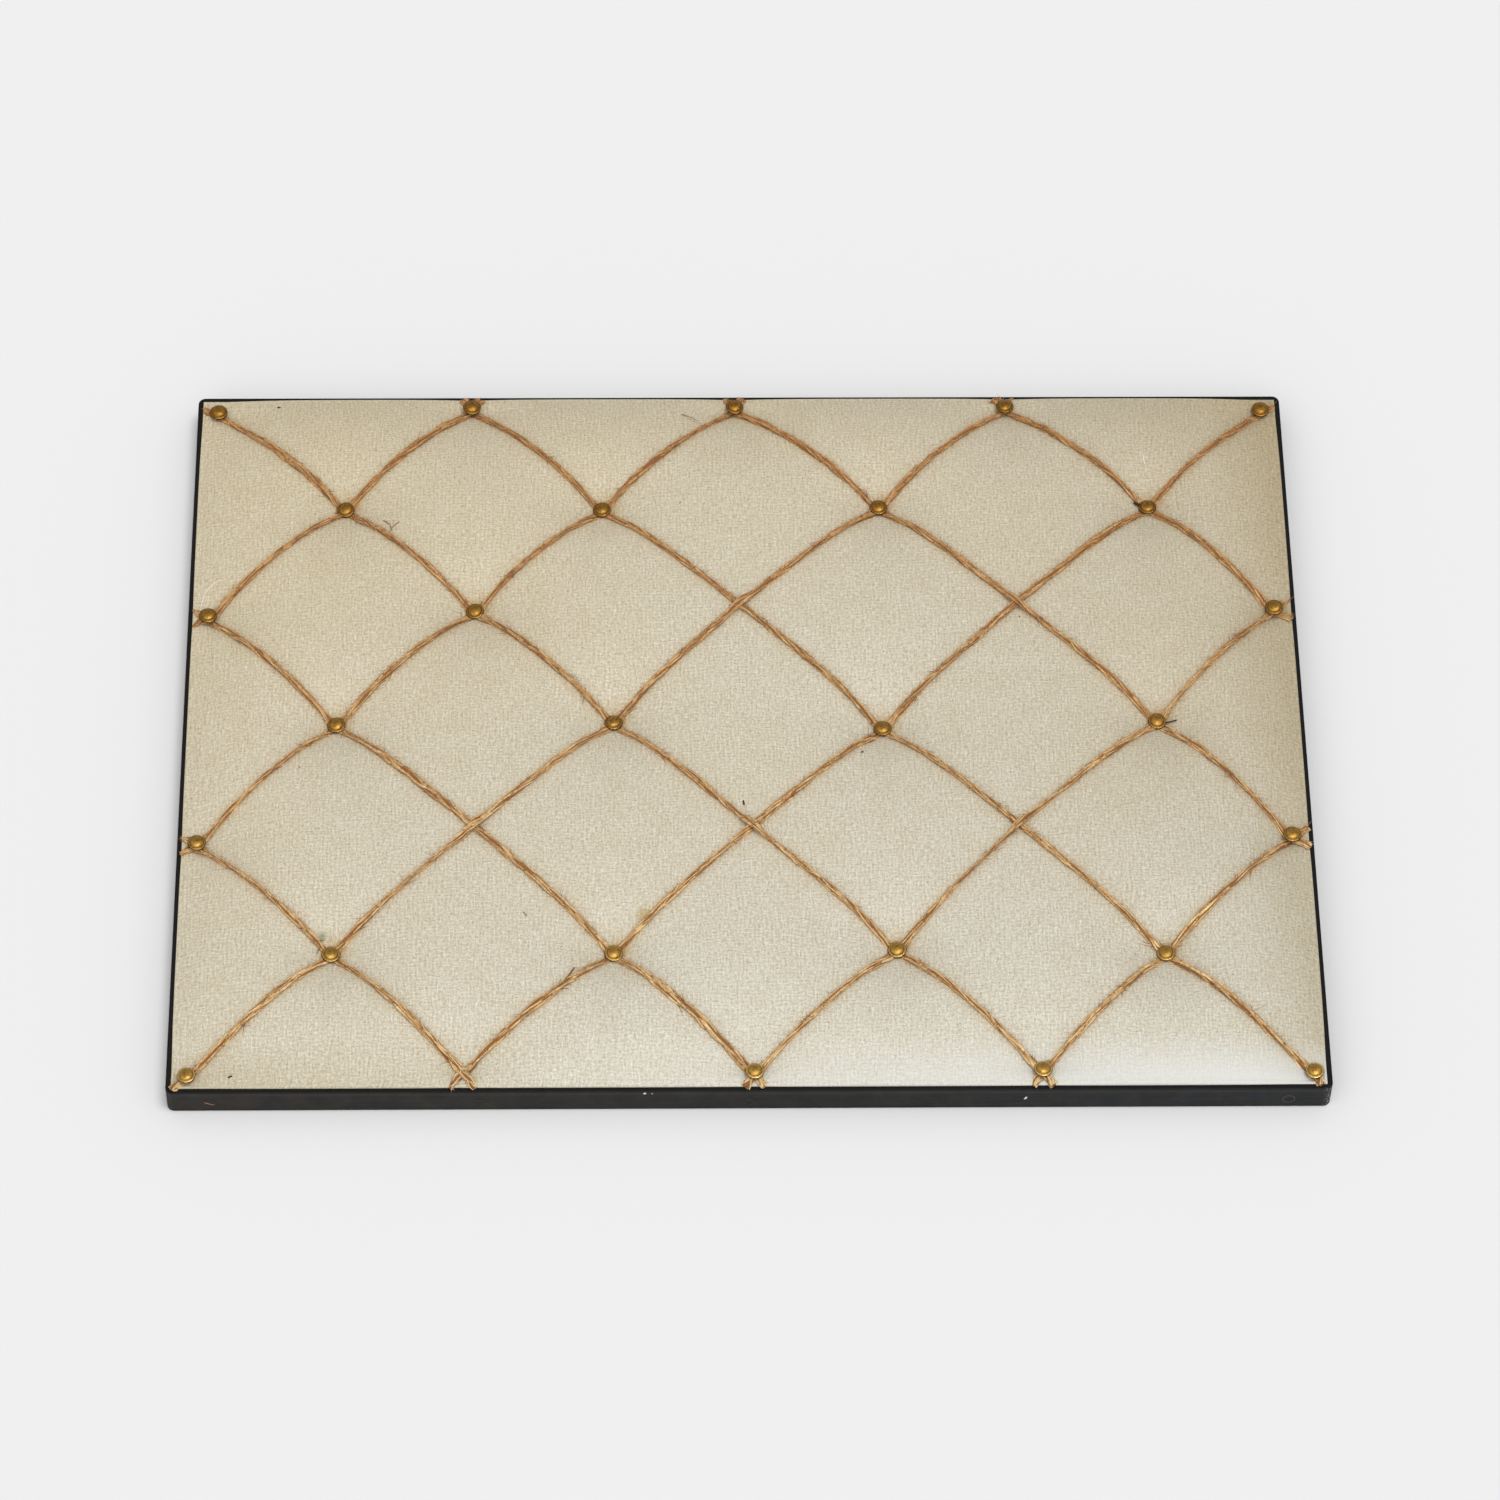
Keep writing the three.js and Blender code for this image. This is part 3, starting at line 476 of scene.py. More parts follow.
def linen_material():
    """Natural linen: plain weave with slubs both ways, yellower towards the top left."""
    look = Look("natural_linen", (174, 162, 137))
    cloth = look.place("UV")
    at = look.split(look.place())
    warp = look.noise(cloth, 1, 0, (1220, 360, 1))
    weft = look.noise(cloth, 1, 0, (360, 1220, 1))
    speck = look.noise(cloth, 1220, 0)
    yarn = look.times(look.plus(warp, weft), 0.5)
    thread = look.plus(look.times(yarn, 0.6), look.times(speck, 0.4))
    beside = look.node("ShaderNodeVectorMath", {0: cloth, 1: (0.001, 0.0, 0.0)}, operation="ADD")["Vector"]
    lines = [look.noise(spot, 1, 0, (700, 120, 1)) for spot in (cloth, beside)]
    thread = look.plus(thread, look.times(look.maths("SUBTRACT", *lines), 0.12))
    wander = look.times(look.noise(cloth, 60, 1), 16.0)
    for axis, strength in (("X", 0.026), ("Y", 0.028)):
        turn = look.plus(look.times(look.split(cloth)[axis], 2 * pi / THREAD_PITCH / MM), wander)
        thread = look.plus(thread, look.times(look.maths("SINE", turn), strength))
    look.cover(look.span(thread, 0.2, 0.8), (241, 241, 230))
    look.stain(look.span(look.noise(cloth, 75, 2), 0.3, 0.7), (250, 248, 244))

    # Sparse dark flecks of flax, longer along the weft
    look.cover(look.span(look.noise(cloth, 1, 2, (420, 900, 1)), 0.7, 0.76, 0.0, 0.5), (128, 106, 74))

    # Jute dust with painted contact shade tans and darkens the cloth beside the twines and round the nails
    look.stain(look.node("ShaderNodeAttribute", {}, attribute_name="dust_and_shade")["Fac"], (230, 204, 158))

    # A yellow cast, a little darker, that fades towards the near right corner
    slant = look.maths("SUBTRACT", look.times(at["Y"], 1.3), at["X"])
    patchy = look.plus(slant, look.span(look.noise(cloth, 7, 2), 0.3, 0.7, -0.12, 0.12))
    look.stain(look.span(patchy, -0.45, 0.45), (248, 238, 220))

    # Painted light falloff: darker towards the right and the far edge, with painted shade on the right edge;
    # along the near edge a painted highlight towards the right and painted shade towards the left
    right = look.maths("POWER", look.span(at["X"], -0.05, 0.305), 2.0)
    look.stain(look.times(right, look.span(at["Y"], -0.22, 0.02, 0.3, 1.0)), (233, 226, 213))
    look.stain(look.span(at["X"], 0.262, 0.3), (240, 236, 227))
    look.stain(look.span(at["Y"], 0.14, 0.225), (250, 249, 247))
    # Painted highlight on the near edge, whiter towards the right, and painted shade towards its left end
    near = look.span(at["Y"], -0.2, -0.222)
    look.cover(look.times(near, look.span(at["X"], -0.12, 0.25, 0.0, 0.8)), (220, 221, 217))
    look.stain(look.times(near, look.span(at["X"], -0.08, -0.25)), (240, 237, 230))

    # A yellow stain and a small green one
    for spot, reach, tint in (((-0.055, -0.1272, 0.0), 0.006, (226, 210, 150)),
                              ((-0.225, -0.137, 0.0), 0.003, (150, 176, 152))):
        apart = look.node("ShaderNodeVectorMath", {0: cloth, 1: spot}, operation="DISTANCE")["Value"]
        look.stain(look.span(apart, 0.2 * reach, reach, 0.8, 0.0), tint)
    return look.done(0.6, Sheen_Weight=0.1, Sheen_Roughness=0.45, Normal=look.bump(thread, 0.0005, 0.4))


def twine_material():
    """Jute: strands along the lay, from straw to dark brown flecks."""
    look = Look("jute_twine", (174, 125, 71))
    lay = look.place("UV")
    strands = look.noise(lay, 1, 3, (0.9, 100, 1), 0.6)
    threads = look.noise(lay, 1, 2, (4, 360, 1))
    flecks = look.noise(lay, 1, 3, (2.0, 330, 7), 0.7)
    look.cover(look.span(strands, 0.32, 0.65), (252, 221, 162))
    look.cover(look.span(threads, 0.4, 0.7, 0.0, 0.35), (150, 100, 50))
    look.cover(look.span(flecks, 0.57, 0.64, 0.0, 0.8), (94, 57, 28))
    way = look.split(look.place())["Y"]
    look.stain(look.span(way, -0.14, 0.2), (220, 196, 170))
    look.cover(look.span(way, -0.217, -0.223, 0.0, 0.6), (236, 208, 158))
    return look.done(0.8, Sheen_Weight=0.15, Normal=look.bump(threads, 0.0004, 0.6))


def fibre_material():
    look = Look("jute_fibre", (176, 128, 74))
    look.cover(look.span(look.noise(look.place(), 160, 2), 0.35, 0.65), (222, 180, 122))
    return look.done(0.8)


def brass_material():
    """Tarnished brass: a painted highlight on the rolled brim, patina dark in the groove, and oxide with
    painted contact shadow under the brim.
    """
    look = Look("aged_brass", (202, 160, 82))
    place = look.place()
    way = look.split(place)["Y"]
    out = look.split(look.place("UV"))["Y"]
    stain = look.noise(place, 420, 4, roughness=0.6)
    spots = look.noise(place, 1000, 3)
    uneven = look.plus(out, look.span(stain, 0.3, 0.7, -0.0008, 0.0008))
    look.cover(look.span(uneven, 0.0028, 0.001), (176, 137, 71))
    look.cover(look.span(out, 0.0032, 0.0036), (164, 124, 62))
    # Painted highlight on the rolled brim, brightest on the nails by the near edge
    roll = look.mix(look.span(way, -0.2, -0.1), srgb(230, 194, 120), srgb(182, 143, 78))
    look.colour = look.mix(look.span(out, 0.0037, 0.0042), look.colour, roll)
    look.cover(look.span(spots, 0.52, 0.64, 0.0, 0.65), (104, 76, 34))
    look.stain(look.span(way, -0.22, 0.2), (214, 200, 178))
    # The brim's outer edge is dark with oxide and painted contact shadow
    look.cover(look.span(out, 0.00465, 0.00485), (62, 44, 22))
    rough = look.span(stain, 0.3, 0.7, 0.37, 0.51)
    rough = look.times(rough, look.span(out, 0.0036, 0.004, 1.0, 0.8))
    return look.done(rough, Metallic=1.0, Normal=look.bump(stain, 0.0002, 0.6))


def paint_material():
    """Black paint on wood: brushed along the strip, greyer where it is rubbed."""
    look = Look("black_paint", (17, 17, 16))
    place = look.place()
    at = look.split(place)
    streaks = look.noise(place, 1, 4, (28, 28, 900), 0.6)
    rub = look.noise(place, 90, 4, roughness=0.65)
    look.cover(look.span(streaks, 0.35, 0.7), (31, 30, 28))
    look.cover(look.span(rub, 0.62, 0.8, 0.0, 0.4), (52, 50, 46))

    # Brown wood shows through at the left, the right is bluer and mottled, and its near right corner has
    # pale specks
    patches = look.noise(place, 70, 3)
    look.cover(look.times(look.span(at["X"], 0.05, -0.25), look.span(patches, 0.35, 0.65)), (40, 33, 25))
    look.cover(look.times(look.span(at["X"], 0.1, 0.25), look.span(patches, 0.4, 0.7)), (20, 25, 34))
    corner = look.times(look.span(at["X"], 0.3, 0.3045), look.span(at["Y"], -0.2262, -0.2278))
    corner_specks = look.times(corner, look.span(look.noise(place, 900, 2), 0.56, 0.62))
    look.cover(corner_specks, (190, 188, 180))

    # Painted highlight along the upper arris, painted shadow at the foot, and painted shade on the faces
    # that look up
    arris = look.times(look.span(at["Z"], 0.0138, 0.015), look.span(at["Z"], 0.0172, 0.016))
    look.cover(look.times(arris, 0.5), (46, 45, 41))
    look.cover(look.span(at["Z"], 0.0016, 0.0006, 0.0, 0.8), (9, 9, 8))
    upward = look.split(look.node("ShaderNodeNewGeometry", {})["True Normal"])["Z"]
    look.cover(look.span(upward, 0.2, 0.8, 0.0, 0.85), (7, 7, 6))
    rough = look.span(rub, 0.3, 0.7, 0.42, 0.6)
    return look.done(rough, Specular_IOR_Level=0.2, Normal=look.bump(streaks, 0.0002, 0.5))


def plywood_material():
    look = Look("plywood", (196, 158, 110))
    place = look.place()
    grain = look.noise(place, 1, 5, (6, 160, 60), 0.6)
    figure = look.noise(place, 1, 3, (2.5, 26, 10))
    look.cover(look.span(grain, 0.35, 0.65), (222, 190, 144))
    look.cover(look.span(figure, 0.45, 0.7, 0.0, 0.5), (180, 138, 92))
    return look.done(0.75, Normal=look.bump(grain, 0.0003, 0.4))


def wadding_material():
    look = Look("polyester_wadding", (226, 224, 218))
    fluff = look.noise(look.place(), 260, 4, roughness=0.7)
    look.cover(look.span(fluff, 0.3, 0.7), (246, 245, 241))
    return look.done(0.95, Normal=look.bump(fluff, 0.002, 0.8))


def zinc_material():
    look = Look("zinc_plate", (176, 178, 180))
    spangle = look.noise(look.place(), 520, 3)
    look.cover(look.span(spangle, 0.35, 0.65), (206, 207, 208))
    return look.done(look.span(spangle, 0.3, 0.7, 0.25, 0.42), Metallic=1.0)


# Mesh helpers

def put_in_scene(name, data):
    made = bpy.data.objects.new(name, data)
    scene.collection.objects.link(made)
    return made


def circle(sides):
    """Places round a circle of radius 1."""
    turns = [2 * pi * k / sides for k in range(sides)]
    return [(cos(turn), sin(turn)) for turn in turns]


class Shape:
    """Corners in millimetres, and faces with a place on the cloth or twine for each of their corners."""

    def __init__(self):
        self.points, self.faces, self.flat, self.slots = [], [], [], []
        self.count = 0

    def add_points(self, points):
        """Adds an array of corners and gives the number of the first."""
        first = self.count
        self.points.append(np.asarray(points, float).reshape(-1, 3))
        self.count += len(self.points[-1])
        return first

    def add_face(self, corners, flat=None, slot=0):
        corners = tuple(corners)
        self.faces.append(corners)
        self.flat.extend(flat or [(0.0, 0.0)] * len(corners))
        self.slots.append(slot)

    def add_tube(self, rings, lengths, slot=0, capped=True, shade=0.0):
        """A tube through an array of rings by sides by 3; the shade sets its colouring apart."""
        count, sides = rings.shape[:2]
        first = self.add_points(rings)
        for i in range(count - 1):
            low, high = lengths[i:i + 2]
            near, far = first + i * sides, first + (i + 1) * sides
            for k in range(sides):
                other = (k + 1) % sides
                left, right = shade + k / sides, shade + (k + 1) / sides
                self.add_face((near + k, near + other, far + other, far + k),
                              [(left, low), (right, low), (right, high), (left, high)], slot)
        if capped:
            self.add_face([first + k for k in reversed(range(sides))], slot=slot)
            self.add_face([first + (count - 1) * sides + k for k in range(sides)], slot=slot)

    def add_copies(self, bodies, pattern, slot):
        """Many small bodies with the same faces, an array of bodies by corners by 3."""
        count, corners = bodies.shape[:2]
        first = self.add_points(bodies)
        for i in range(count):
            for face in pattern:
                self.add_face([first + i * corners + corner for corner in face], slot=slot)

    def build(self, name, *materials):
        mesh = bpy.data.meshes.new(name)
        mesh.from_pydata((np.concatenate(self.points) * MM).tolist(), [], self.faces)
        layer = mesh.uv_layers.new(name="UVMap")
        layer.data.foreach_set("uv", np.array(self.flat, np.float32).ravel())
        for material in materials:
            mesh.materials.append(material)
        mesh.polygons.foreach_set("material_index", self.slots)
        mesh.polygons.foreach_set("use_smooth", [True] * len(self.faces))
        return put_in_scene(name, mesh)


def fit(piece, nodes):
    """Puts a piece in the place of CAD nodes."""
    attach(piece, "board")
    if nodes:
        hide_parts(*nodes)


# Linen and wadding

def face_grid(step, inset):
    """A grid of places over the padded face, rows from the near edge, with its outline in order."""
    x, y = np.meshgrid(*(np.linspace(inset - half, half - inset, round(2 * half / step)) for half in HALF))
    index = np.arange(x.size).reshape(x.shape)
    outline = np.concatenate([index[0, :-1], index[:-1, -1], index[-1, :0:-1], index[:0:-1, 0]])
    return x, y, index, outline


def add_grid(shape, x, y, z, index):
    shape.add_points(np.stack([x, y, z], -1))
    flat = np.stack([x, y], -1).reshape(-1, 2) * MM
    corner_grids = (index[:-1, :-1], index[:-1, 1:], index[1:, 1:], index[1:, :-1])
    for corners in zip(*(grid.ravel() for grid in corner_grids)):
        shape.add_face(corners, [flat[i] for i in corners])


def add_skirt(shape, x, y, outline, rings):
    """Rings of corners from the grid's outline on; a ring is its insets, heights and way along the cloth."""
    places = np.stack([x.ravel()[outline], y.ravel()[outline]], -1)
    reach = np.abs(places).max(0)
    outward = np.where(np.abs(places) > reach - 1e-6, np.sign(places), 0)
    before, before_flat = list(outline), places * MM
    for insets, heights, way in rings:
        moved = places * (HALF - insets[:, None]) / reach
        first = shape.add_points(np.column_stack([moved, heights]))
        ring = list(range(first, first + len(outline)))
        flat = (places + outward * way) * MM
        for i in range(len(outline)):
            after = (i + 1) % len(outline)
            shape.add_face((before[i], ring[i], ring[after], before[after]),
                           [before_flat[i], flat[i], flat[after], before_flat[after]])
        before, before_flat = ring, flat
    return before


def swollen_cover():
    """Lets the cover swell under the pressure of the wadding, held at the nails, the edge and the twines."""
    x, y, index, outline = face_grid(SIM_STEP, SHOULDER_INSET)
    drawn = drawn_height(x, y)
    shape = Shape()
    add_grid(shape, x, y, drawn, index)
    trial = shape.build("cover_trial")
    nail = nearest_held(x, y, HELD)
    hold = np.maximum(nail < SIM_STEP, SIM_TWINE_HOLD * (nearest_run(x, y) < SIM_STEP / 2)).ravel()
    hold[outline] = 1
    group = trial.vertex_groups.new(name="held")
    for weight in np.unique(hold[hold > 0]):
        group.add(np.flatnonzero(hold == weight).tolist(), float(weight), "REPLACE")
    cloth = trial.modifiers.new("swell", "CLOTH").settings
    cloth.vertex_group_mass = group.name
    cloth.use_pressure = True
    cloth.uniform_pressure_force = SIM_PRESSURE
    cloth.effector_weights.gravity = 0
    cloth.tension_stiffness = SIM_STIFFNESS
    cloth.compression_stiffness = SIM_STIFFNESS
    cloth.bending_stiffness = SIM_BENDING
    for step in range(1, SIM_FRAMES + 1):
        scene.frame_set(step)
    settled = trial.evaluated_get(bpy.context.evaluated_depsgraph_get()).data
    height = np.array([corner.co.z for corner in settled.vertices]).reshape(x.shape) / MM
    scene.frame_set(1)
    bpy.data.objects.remove(trial)
    return Swell(x[0], y[:, 0], np.clip(height - drawn, -SWELL_CAP, SWELL_CAP))


def edge_rings(x, y, outline):
    """Insets, heights and way along the cloth of its rings from the shoulder to the edge of the hem."""
    shoulder = linen_height(x.ravel()[outline], y.ravel()[outline])
    bulge = BULGE * smooth_step(*BULGE_RANGE, shoulder - STRIP_TOP)
    low = STRIP_TOP + LIP_HEIGHT
    rise = np.maximum(shoulder, low + LIP_LEAST) - low
    rings = []
    for turn in range(1, ROLL_TURNS + 1):
        angle = radians(90 * turn / ROLL_TURNS)
        inset = WALL_INSET - bulge + (SHOULDER_INSET - WALL_INSET + bulge) * (1 - sin(angle))
        height = low + rise * (LIP_SHARE + (1 - LIP_SHARE) * cos(angle))
        rings.append((inset, height, ROLL_WAY * turn))
    level = np.ones(len(outline))
    rings.append((WALL_INSET - bulge * LIP_BULGE, low * level, LIP_WAY))
    for inset, height, way in ((WALL_INSET, STRIP_TOP - GAP_DROP, GAP_WAY),
                               (WALL_INSET, LINEN_BACK + BACK_BEND, WALL_LENGTH - BACK_BEND_WAY),
                               (WALL_INSET + BACK_BEND, LINEN_BACK, WALL_LENGTH),
                               (HEM_INSET, LINEN_BACK, WALL_LENGTH + HEM_INSET)):
        rings.append((inset * level, height * level, way))
    return rings


def make_linen(material):
    """The cover: over the padded face, down into the gap at the strips and back under the panel as a hem."""
    shape = Shape()
    x, y, index, outline = face_grid(GRID_STEP, SHOULDER_INSET)
    add_grid(shape, x, y, linen_height(x, y), index)
    add_skirt(shape, x, y, outline, edge_rings(x, y, outline))
    linen = shape.build("linen_cloth", material)
    corners = np.concatenate(shape.points)
    x, y = corners[:, 0], corners[:, 1]
    # Jute dust with painted contact shade, a share for each corner of the cloth
    shift_x, shift_y = NAIL_DUST_AND_SHADE_SHIFT
    dust_and_shade = np.maximum(DUST_AND_SHADE_SHARE * np.exp(-(nearest_run(x, y) / DUST_AND_SHADE_REACH) ** 2),
                      np.exp(-(nearest_held(x - shift_x, y - shift_y, INNER) / NAIL_DUST_AND_SHADE_REACH) ** 2))
    linen.data.attributes.new("dust_and_shade", "FLOAT", "POINT").data.foreach_set("value", dust_and_shade.astype(np.float32))
    solid = linen.modifiers.new("thickness", "SOLIDIFY")
    solid.thickness = LINEN_THICKNESS * MM
    solid.offset = -1
    fit(linen, ["linen_cover"])


def make_wadding(material):
    """The layer that fills the cover, a closed pad that lies on the panel."""
    shape = Shape()
    low = box_mm("wadding_layer")[0][2]
    x, y, index, outline = face_grid(WADDING_STEP, WADDING_INSET)
    add_grid(shape, x, y, linen_height(x, y) - (LINEN_THICKNESS + WADDING_ROOM), index)
    level = np.ones(len(outline))
    rings = [(WADDING_WALL * level, (low + rise) * level, way) for rise, way in WADDING_RINGS]
    shape.add_face(reversed(add_skirt(shape, x, y, outline, rings)))
    pad = shape.build("wadding_pad", material)
    fit(pad, ["wadding_layer"])


# Twine

def twine_route(run):
    """Places along a twine in plan, from the edge before its first crossing to the edge after its last."""
    def edge_end(crossing, inner):
        place = PLACES[crossing]
        heading = (place - PLACES[inner]) / np.linalg.norm(place - PLACES[inner])
        room = HALF + TIP_OVERLAP - TIP_LEAN * place[1] / HALF_Y - np.abs(place)
        heading = heading + TIP_TURN * np.sign(place) * (room < EDGE_REACH)
        heading = np.array(CORNER_TIPS.get(crossing, heading))
        heading = heading / np.linalg.norm(heading)
        facing = np.sign(place) * heading > 0
        reach = min(room[i] / abs(heading[i]) for i in range(2) if facing[i])
        return place + heading * reach

    corners = [edge_end(run[0], run[1]), *(PLACES[crossing] for crossing in run), edge_end(run[-1], run[-2])]
    points, marks, way = [], [], 0.0
    for start, end in zip(corners, corners[1:]):
        length = np.linalg.norm(end - start)
        count = max(round(length / TWINE_STEP), 2)
        points.extend(start + (end - start) * i / count for i in range(count))
        marks.extend(way + length * i / count for i in range(count))
        way += length
    points.append(corners[-1])
    marks.append(way)
    return np.array(points), np.array(marks)


def softened(values, passes):
    """Values along a line, each evened out with its neighbours."""
    for _ in range(passes):
        values = np.concatenate([values[:1], (values[:-2] + 2 * values[1:-1] + values[2:]) / 4, values[-1:]])
    return values


class Twine:
    """The middle line of a twine, with its width and height at each place as shares of the plain twine's."""

    def __init__(self, name, run, seed):
        self.dice = np.random.default_rng(seed)
        points, self.marks = twine_route(run)
        self.count = len(points)
        heading = np.gradient(points, axis=0)
        heading /= np.linalg.norm(heading, axis=1)[:, None]
        self.heading = np.column_stack([heading, np.zeros(self.count)])
        self.across = np.column_stack([heading[:, 1], -heading[:, 0], np.zeros(self.count)])
        width = np.full(self.count, TWINE_WIDTH) * (1 + self.drift(*TWINE_DRIFT))
        height = np.full(self.count, TWINE_HEIGHT)
        lift = np.zeros(self.count)
        for crossing in run:
            distance = np.hypot(*(points - PLACES[crossing]).T)
            free = crossing in FREE_CROSSINGS
            flat_width = CROSSING_WIDTH if free else PINCH_WIDTH
            flat_height = CROSSING_HEIGHT if free else PINCH_HEIGHT
            pinch = 1 - smooth_step(CROSSING_REACH if free else PINCH_REACH, SPREAD_REACH, distance)
            width += pinch * (flat_width - width)
            height += pinch * (flat_height - height)
            shared = sum(crossing in other for other in RUNS.values()) > 1
            if shared and on_top(crossing, name):
                rise = (1 - smooth_step(*LIFT_REACH, distance)) * flat_height * LIFT_SHARE
                lift = np.maximum(lift, rise)
        taper = smooth_step(0, TAPER_REACH, np.minimum(self.marks, self.marks[-1] - self.marks))
        width *= TAPER_WIDTH + (1 - TAPER_WIDTH) * taper
        self.ends = np.ones(self.count)
        for i, size in enumerate(END_SIZES):
            self.ends[[i, -1 - i]] = size
        floor = linen_height(*points.T)
        beyond = edge_inset(*points.T) < TIP_BAND
        floor[beyond] = np.maximum(floor[beyond], STRIP_TOP + TIP_ROOM)
        self.wide, self.high = width / TWINE_WIDTH, height / TWINE_HEIGHT
        self.middle = np.column_stack([points, softened(floor + height * TWINE_SEAT + lift, passes=2)])

    def drift(self, size, passes):
        """A slow change along the twine that is never the same twice."""
        return softened(self.dice.normal(0, size, self.count), passes)

    def section(self, over, up):
        """Points at a place in the twine's cross-section, all along it."""
        moved = self.middle + self.across * (over * self.wide)[:, None]
        moved[:, 2] += up * self.high
        return moved


def add_plies(shape, twine, seed):
    """Two plies that wind round each other, each a core under strands of fibre, its colour dark as painted
    shade in the gaps between the strands.
    """
    wander = twine.drift(*PLY_WANDER)
    for ply in range(PLIES):
        turn = 2 * pi * (twine.marks / LAY_LENGTH + ply / PLIES) + wander
        swelling = 1 + twine.drift(*PLY_DRIFT)
        over, up = PLY_OFFSET * np.cos(turn), PLY_OFFSET * np.sin(turn)
        # The core, coloured dark as painted shade between the strands
        add_strand(shape, twine, over, up, PLY_RADIUS * swelling, PLY_SIDES, 0.0, slot=2)
        for strand in range(STRANDS):
            slant = 2 * pi * (strand / STRANDS - twine.marks / STRAND_LAY) + twine.drift(*STRAND_WANDER)
            reach = (PLY_RADIUS - STRAND_SINK) * swelling * (1 + twine.drift(*STRAND_LIFT))
            thick = STRAND_RADIUS * (1 + twine.drift(*STRAND_DRIFT))
            shade = 20.0 * seed + 10 * ply + 2 * strand
            outer, upper = over + reach * np.cos(slant), up + reach * np.sin(slant)
            add_strand(shape, twine, outer, upper, thick, STRAND_SIDES, shade)


def add_strand(shape, twine, over, up, radius, sides, shade, slot=0):
    radius = radius * twine.ends
    rings = [twine.section(over + radius * x, up + radius * y) for x, y in circle(sides)]
    shape.add_tube(np.stack(rings, 1), twine.marks * MM, slot, shade=shade)


def add_fuzz(shape, twine, count, least, most, spread, width, slot, near=None):
    """Loose fibres that stand off the twine as pointed ribbons; near keeps them to one stretch of it."""
    dice = twine.dice
    low, high = near or (1, twine.count - 1)
    spots = dice.integers(low, high, count)
    angle = dice.uniform(-FUZZ_DROOP, pi + FUZZ_DROOP, count)
    radial = twine.across[spots] * np.cos(angle)[:, None]
    radial[:, 2] += np.sin(angle)
    forward = twine.heading[spots] * dice.choice([-1, 1], count)[:, None]
    girth = np.column_stack([twine.wide, twine.wide, twine.high])[spots] * FUZZ_GIRTH
    root = twine.middle[spots] + radial * girth
    tilt = dice.uniform(FUZZ_TILT, spread, count)[:, None]
    length = dice.uniform(least, most, count)[:, None] * dice.uniform(0.5, 1, count)[:, None]
    way = forward * np.cos(tilt) + radial * np.sin(tilt)
    curl = dice.normal(0, FUZZ_CURL, (count, 3))
    knee = root + way * length * FUZZ_KNEE + curl * length * KNEE_CURL
    tip = root + way * length + curl * length * TIP_CURL
    for part in (knee, tip):
        floor = linen_height(part[:, 0], part[:, 1])
        part[:, 2] = np.clip(part[:, 2], floor + FUZZ_BOTTOM, floor + FUZZ_TOP)
    side = np.cross(way, dice.normal(0, 1, (count, 3)))
    side *= width / 2 / (np.linalg.norm(side, axis=1)[:, None] + 1e-9)
    thin = side * KNEE_WIDTH
    ribbons = np.stack([root - side, root + side, knee - thin, knee + thin, tip], 1)
    shape.add_copies(ribbons, ((0, 1, 3, 2), (2, 3, 4)), slot)


def make_twines(material, fibre, core):
    for seed, (name, run) in enumerate(RUNS.items()):
        shape = Shape()
        twine = Twine(name, run, seed)
        length = twine.marks[-1]
        add_plies(shape, twine, seed)
        for per_mm, *kind in FUZZ_KINDS:
            add_fuzz(shape, twine, int(length * per_mm), *kind)
        for _ in range(int(length / TUFT_SPACING)):
            start = int(twine.dice.integers(2 * TUFT_STEPS, twine.count - 4 * TUFT_STEPS))
            add_fuzz(shape, twine, *TUFT, near=(start, start + TUFT_STEPS))
        for tip in ((0, TIP_STEPS), (twine.count - TIP_STEPS, twine.count)):
            add_fuzz(shape, twine, *TIP_TUFT, near=tip)
        fit(shape.build(name.replace("twine", "jute"), material, fibre, core), [name])


# Nails and staple

def nail_profile():
    """Half outline of a nail from its point up round the brim to the dome, as radius and height."""
    radius, low = NAIL_BRIM[-1]
    dome = []
    for turn in NAIL_DOME_TURNS:
        slope = radians(turn)
        dome.append((radius * cos(slope), low + (NAIL_DOME_HEIGHT - low) * sin(slope)))
    return [*NAIL_SHANK, *NAIL_BRIM, *dome, (NAIL_CROWN, NAIL_DOME_HEIGHT)]


def make_nails(material):
    profile = nail_profile()
    dice = random.Random(5)
    for crossing in HELD:
        if crossing == STAPLED:
            continue
        name = held_node(*crossing)
        seat = box_mm(name)[1][2] - NAIL_SEAT
        turns = [Matrix.Rotation(radians(dice.uniform(-NAIL_LEAN, NAIL_LEAN)), 3, axis) for axis in "XY"]
        lean = turns[0] @ turns[1]
        base = np.array([*PLACES[crossing], seat])
        rings = []
        for radius, height in profile:
            spots = [Vector((radius * x, radius * y, height)) for x, y in circle(NAIL_SIDES)]
            rings.append([base + np.array(lean @ spot if height > 0 else spot) for spot in spots])
        shape = Shape()
        shape.add_tube(np.array(rings), [radius * MM for radius, _ in profile])
        fit(shape.build(name.replace("nail", "brass_nail"), material), [name])


def wire(shape, route, radius, sides, slot=0):
    """A round wire along a list of places."""
    route = np.array(route, float)
    spots = [Vector((radius * x, radius * y, 0.0)) for x, y in circle(sides)]
    rings = []
    for place, way in zip(route, np.gradient(route, axis=0)):
        turn = Vector(way).to_track_quat("Z", "Y").to_matrix()
        rings.append([place + np.array(turn @ spot) for spot in spots])
    shape.add_tube(np.array(rings), [0.0] * len(rings), slot=slot)


def strip_sides():
    """Each strip's middle on its outer face, the way along it, the way out of it and its half length."""
    half_x, half_y = -box_mm("frame_strip_left")[0][0], box_mm("frame_strip_top")[1][1]
    return [((0, -half_y), (1, 0), (0, -1), half_x), ((0, half_y), (1, 0), (0, 1), half_x),
            ((-half_x, 0), (0, 1), (-1, 0), half_y), ((half_x, 0), (0, 1), (1, 0), half_y)]


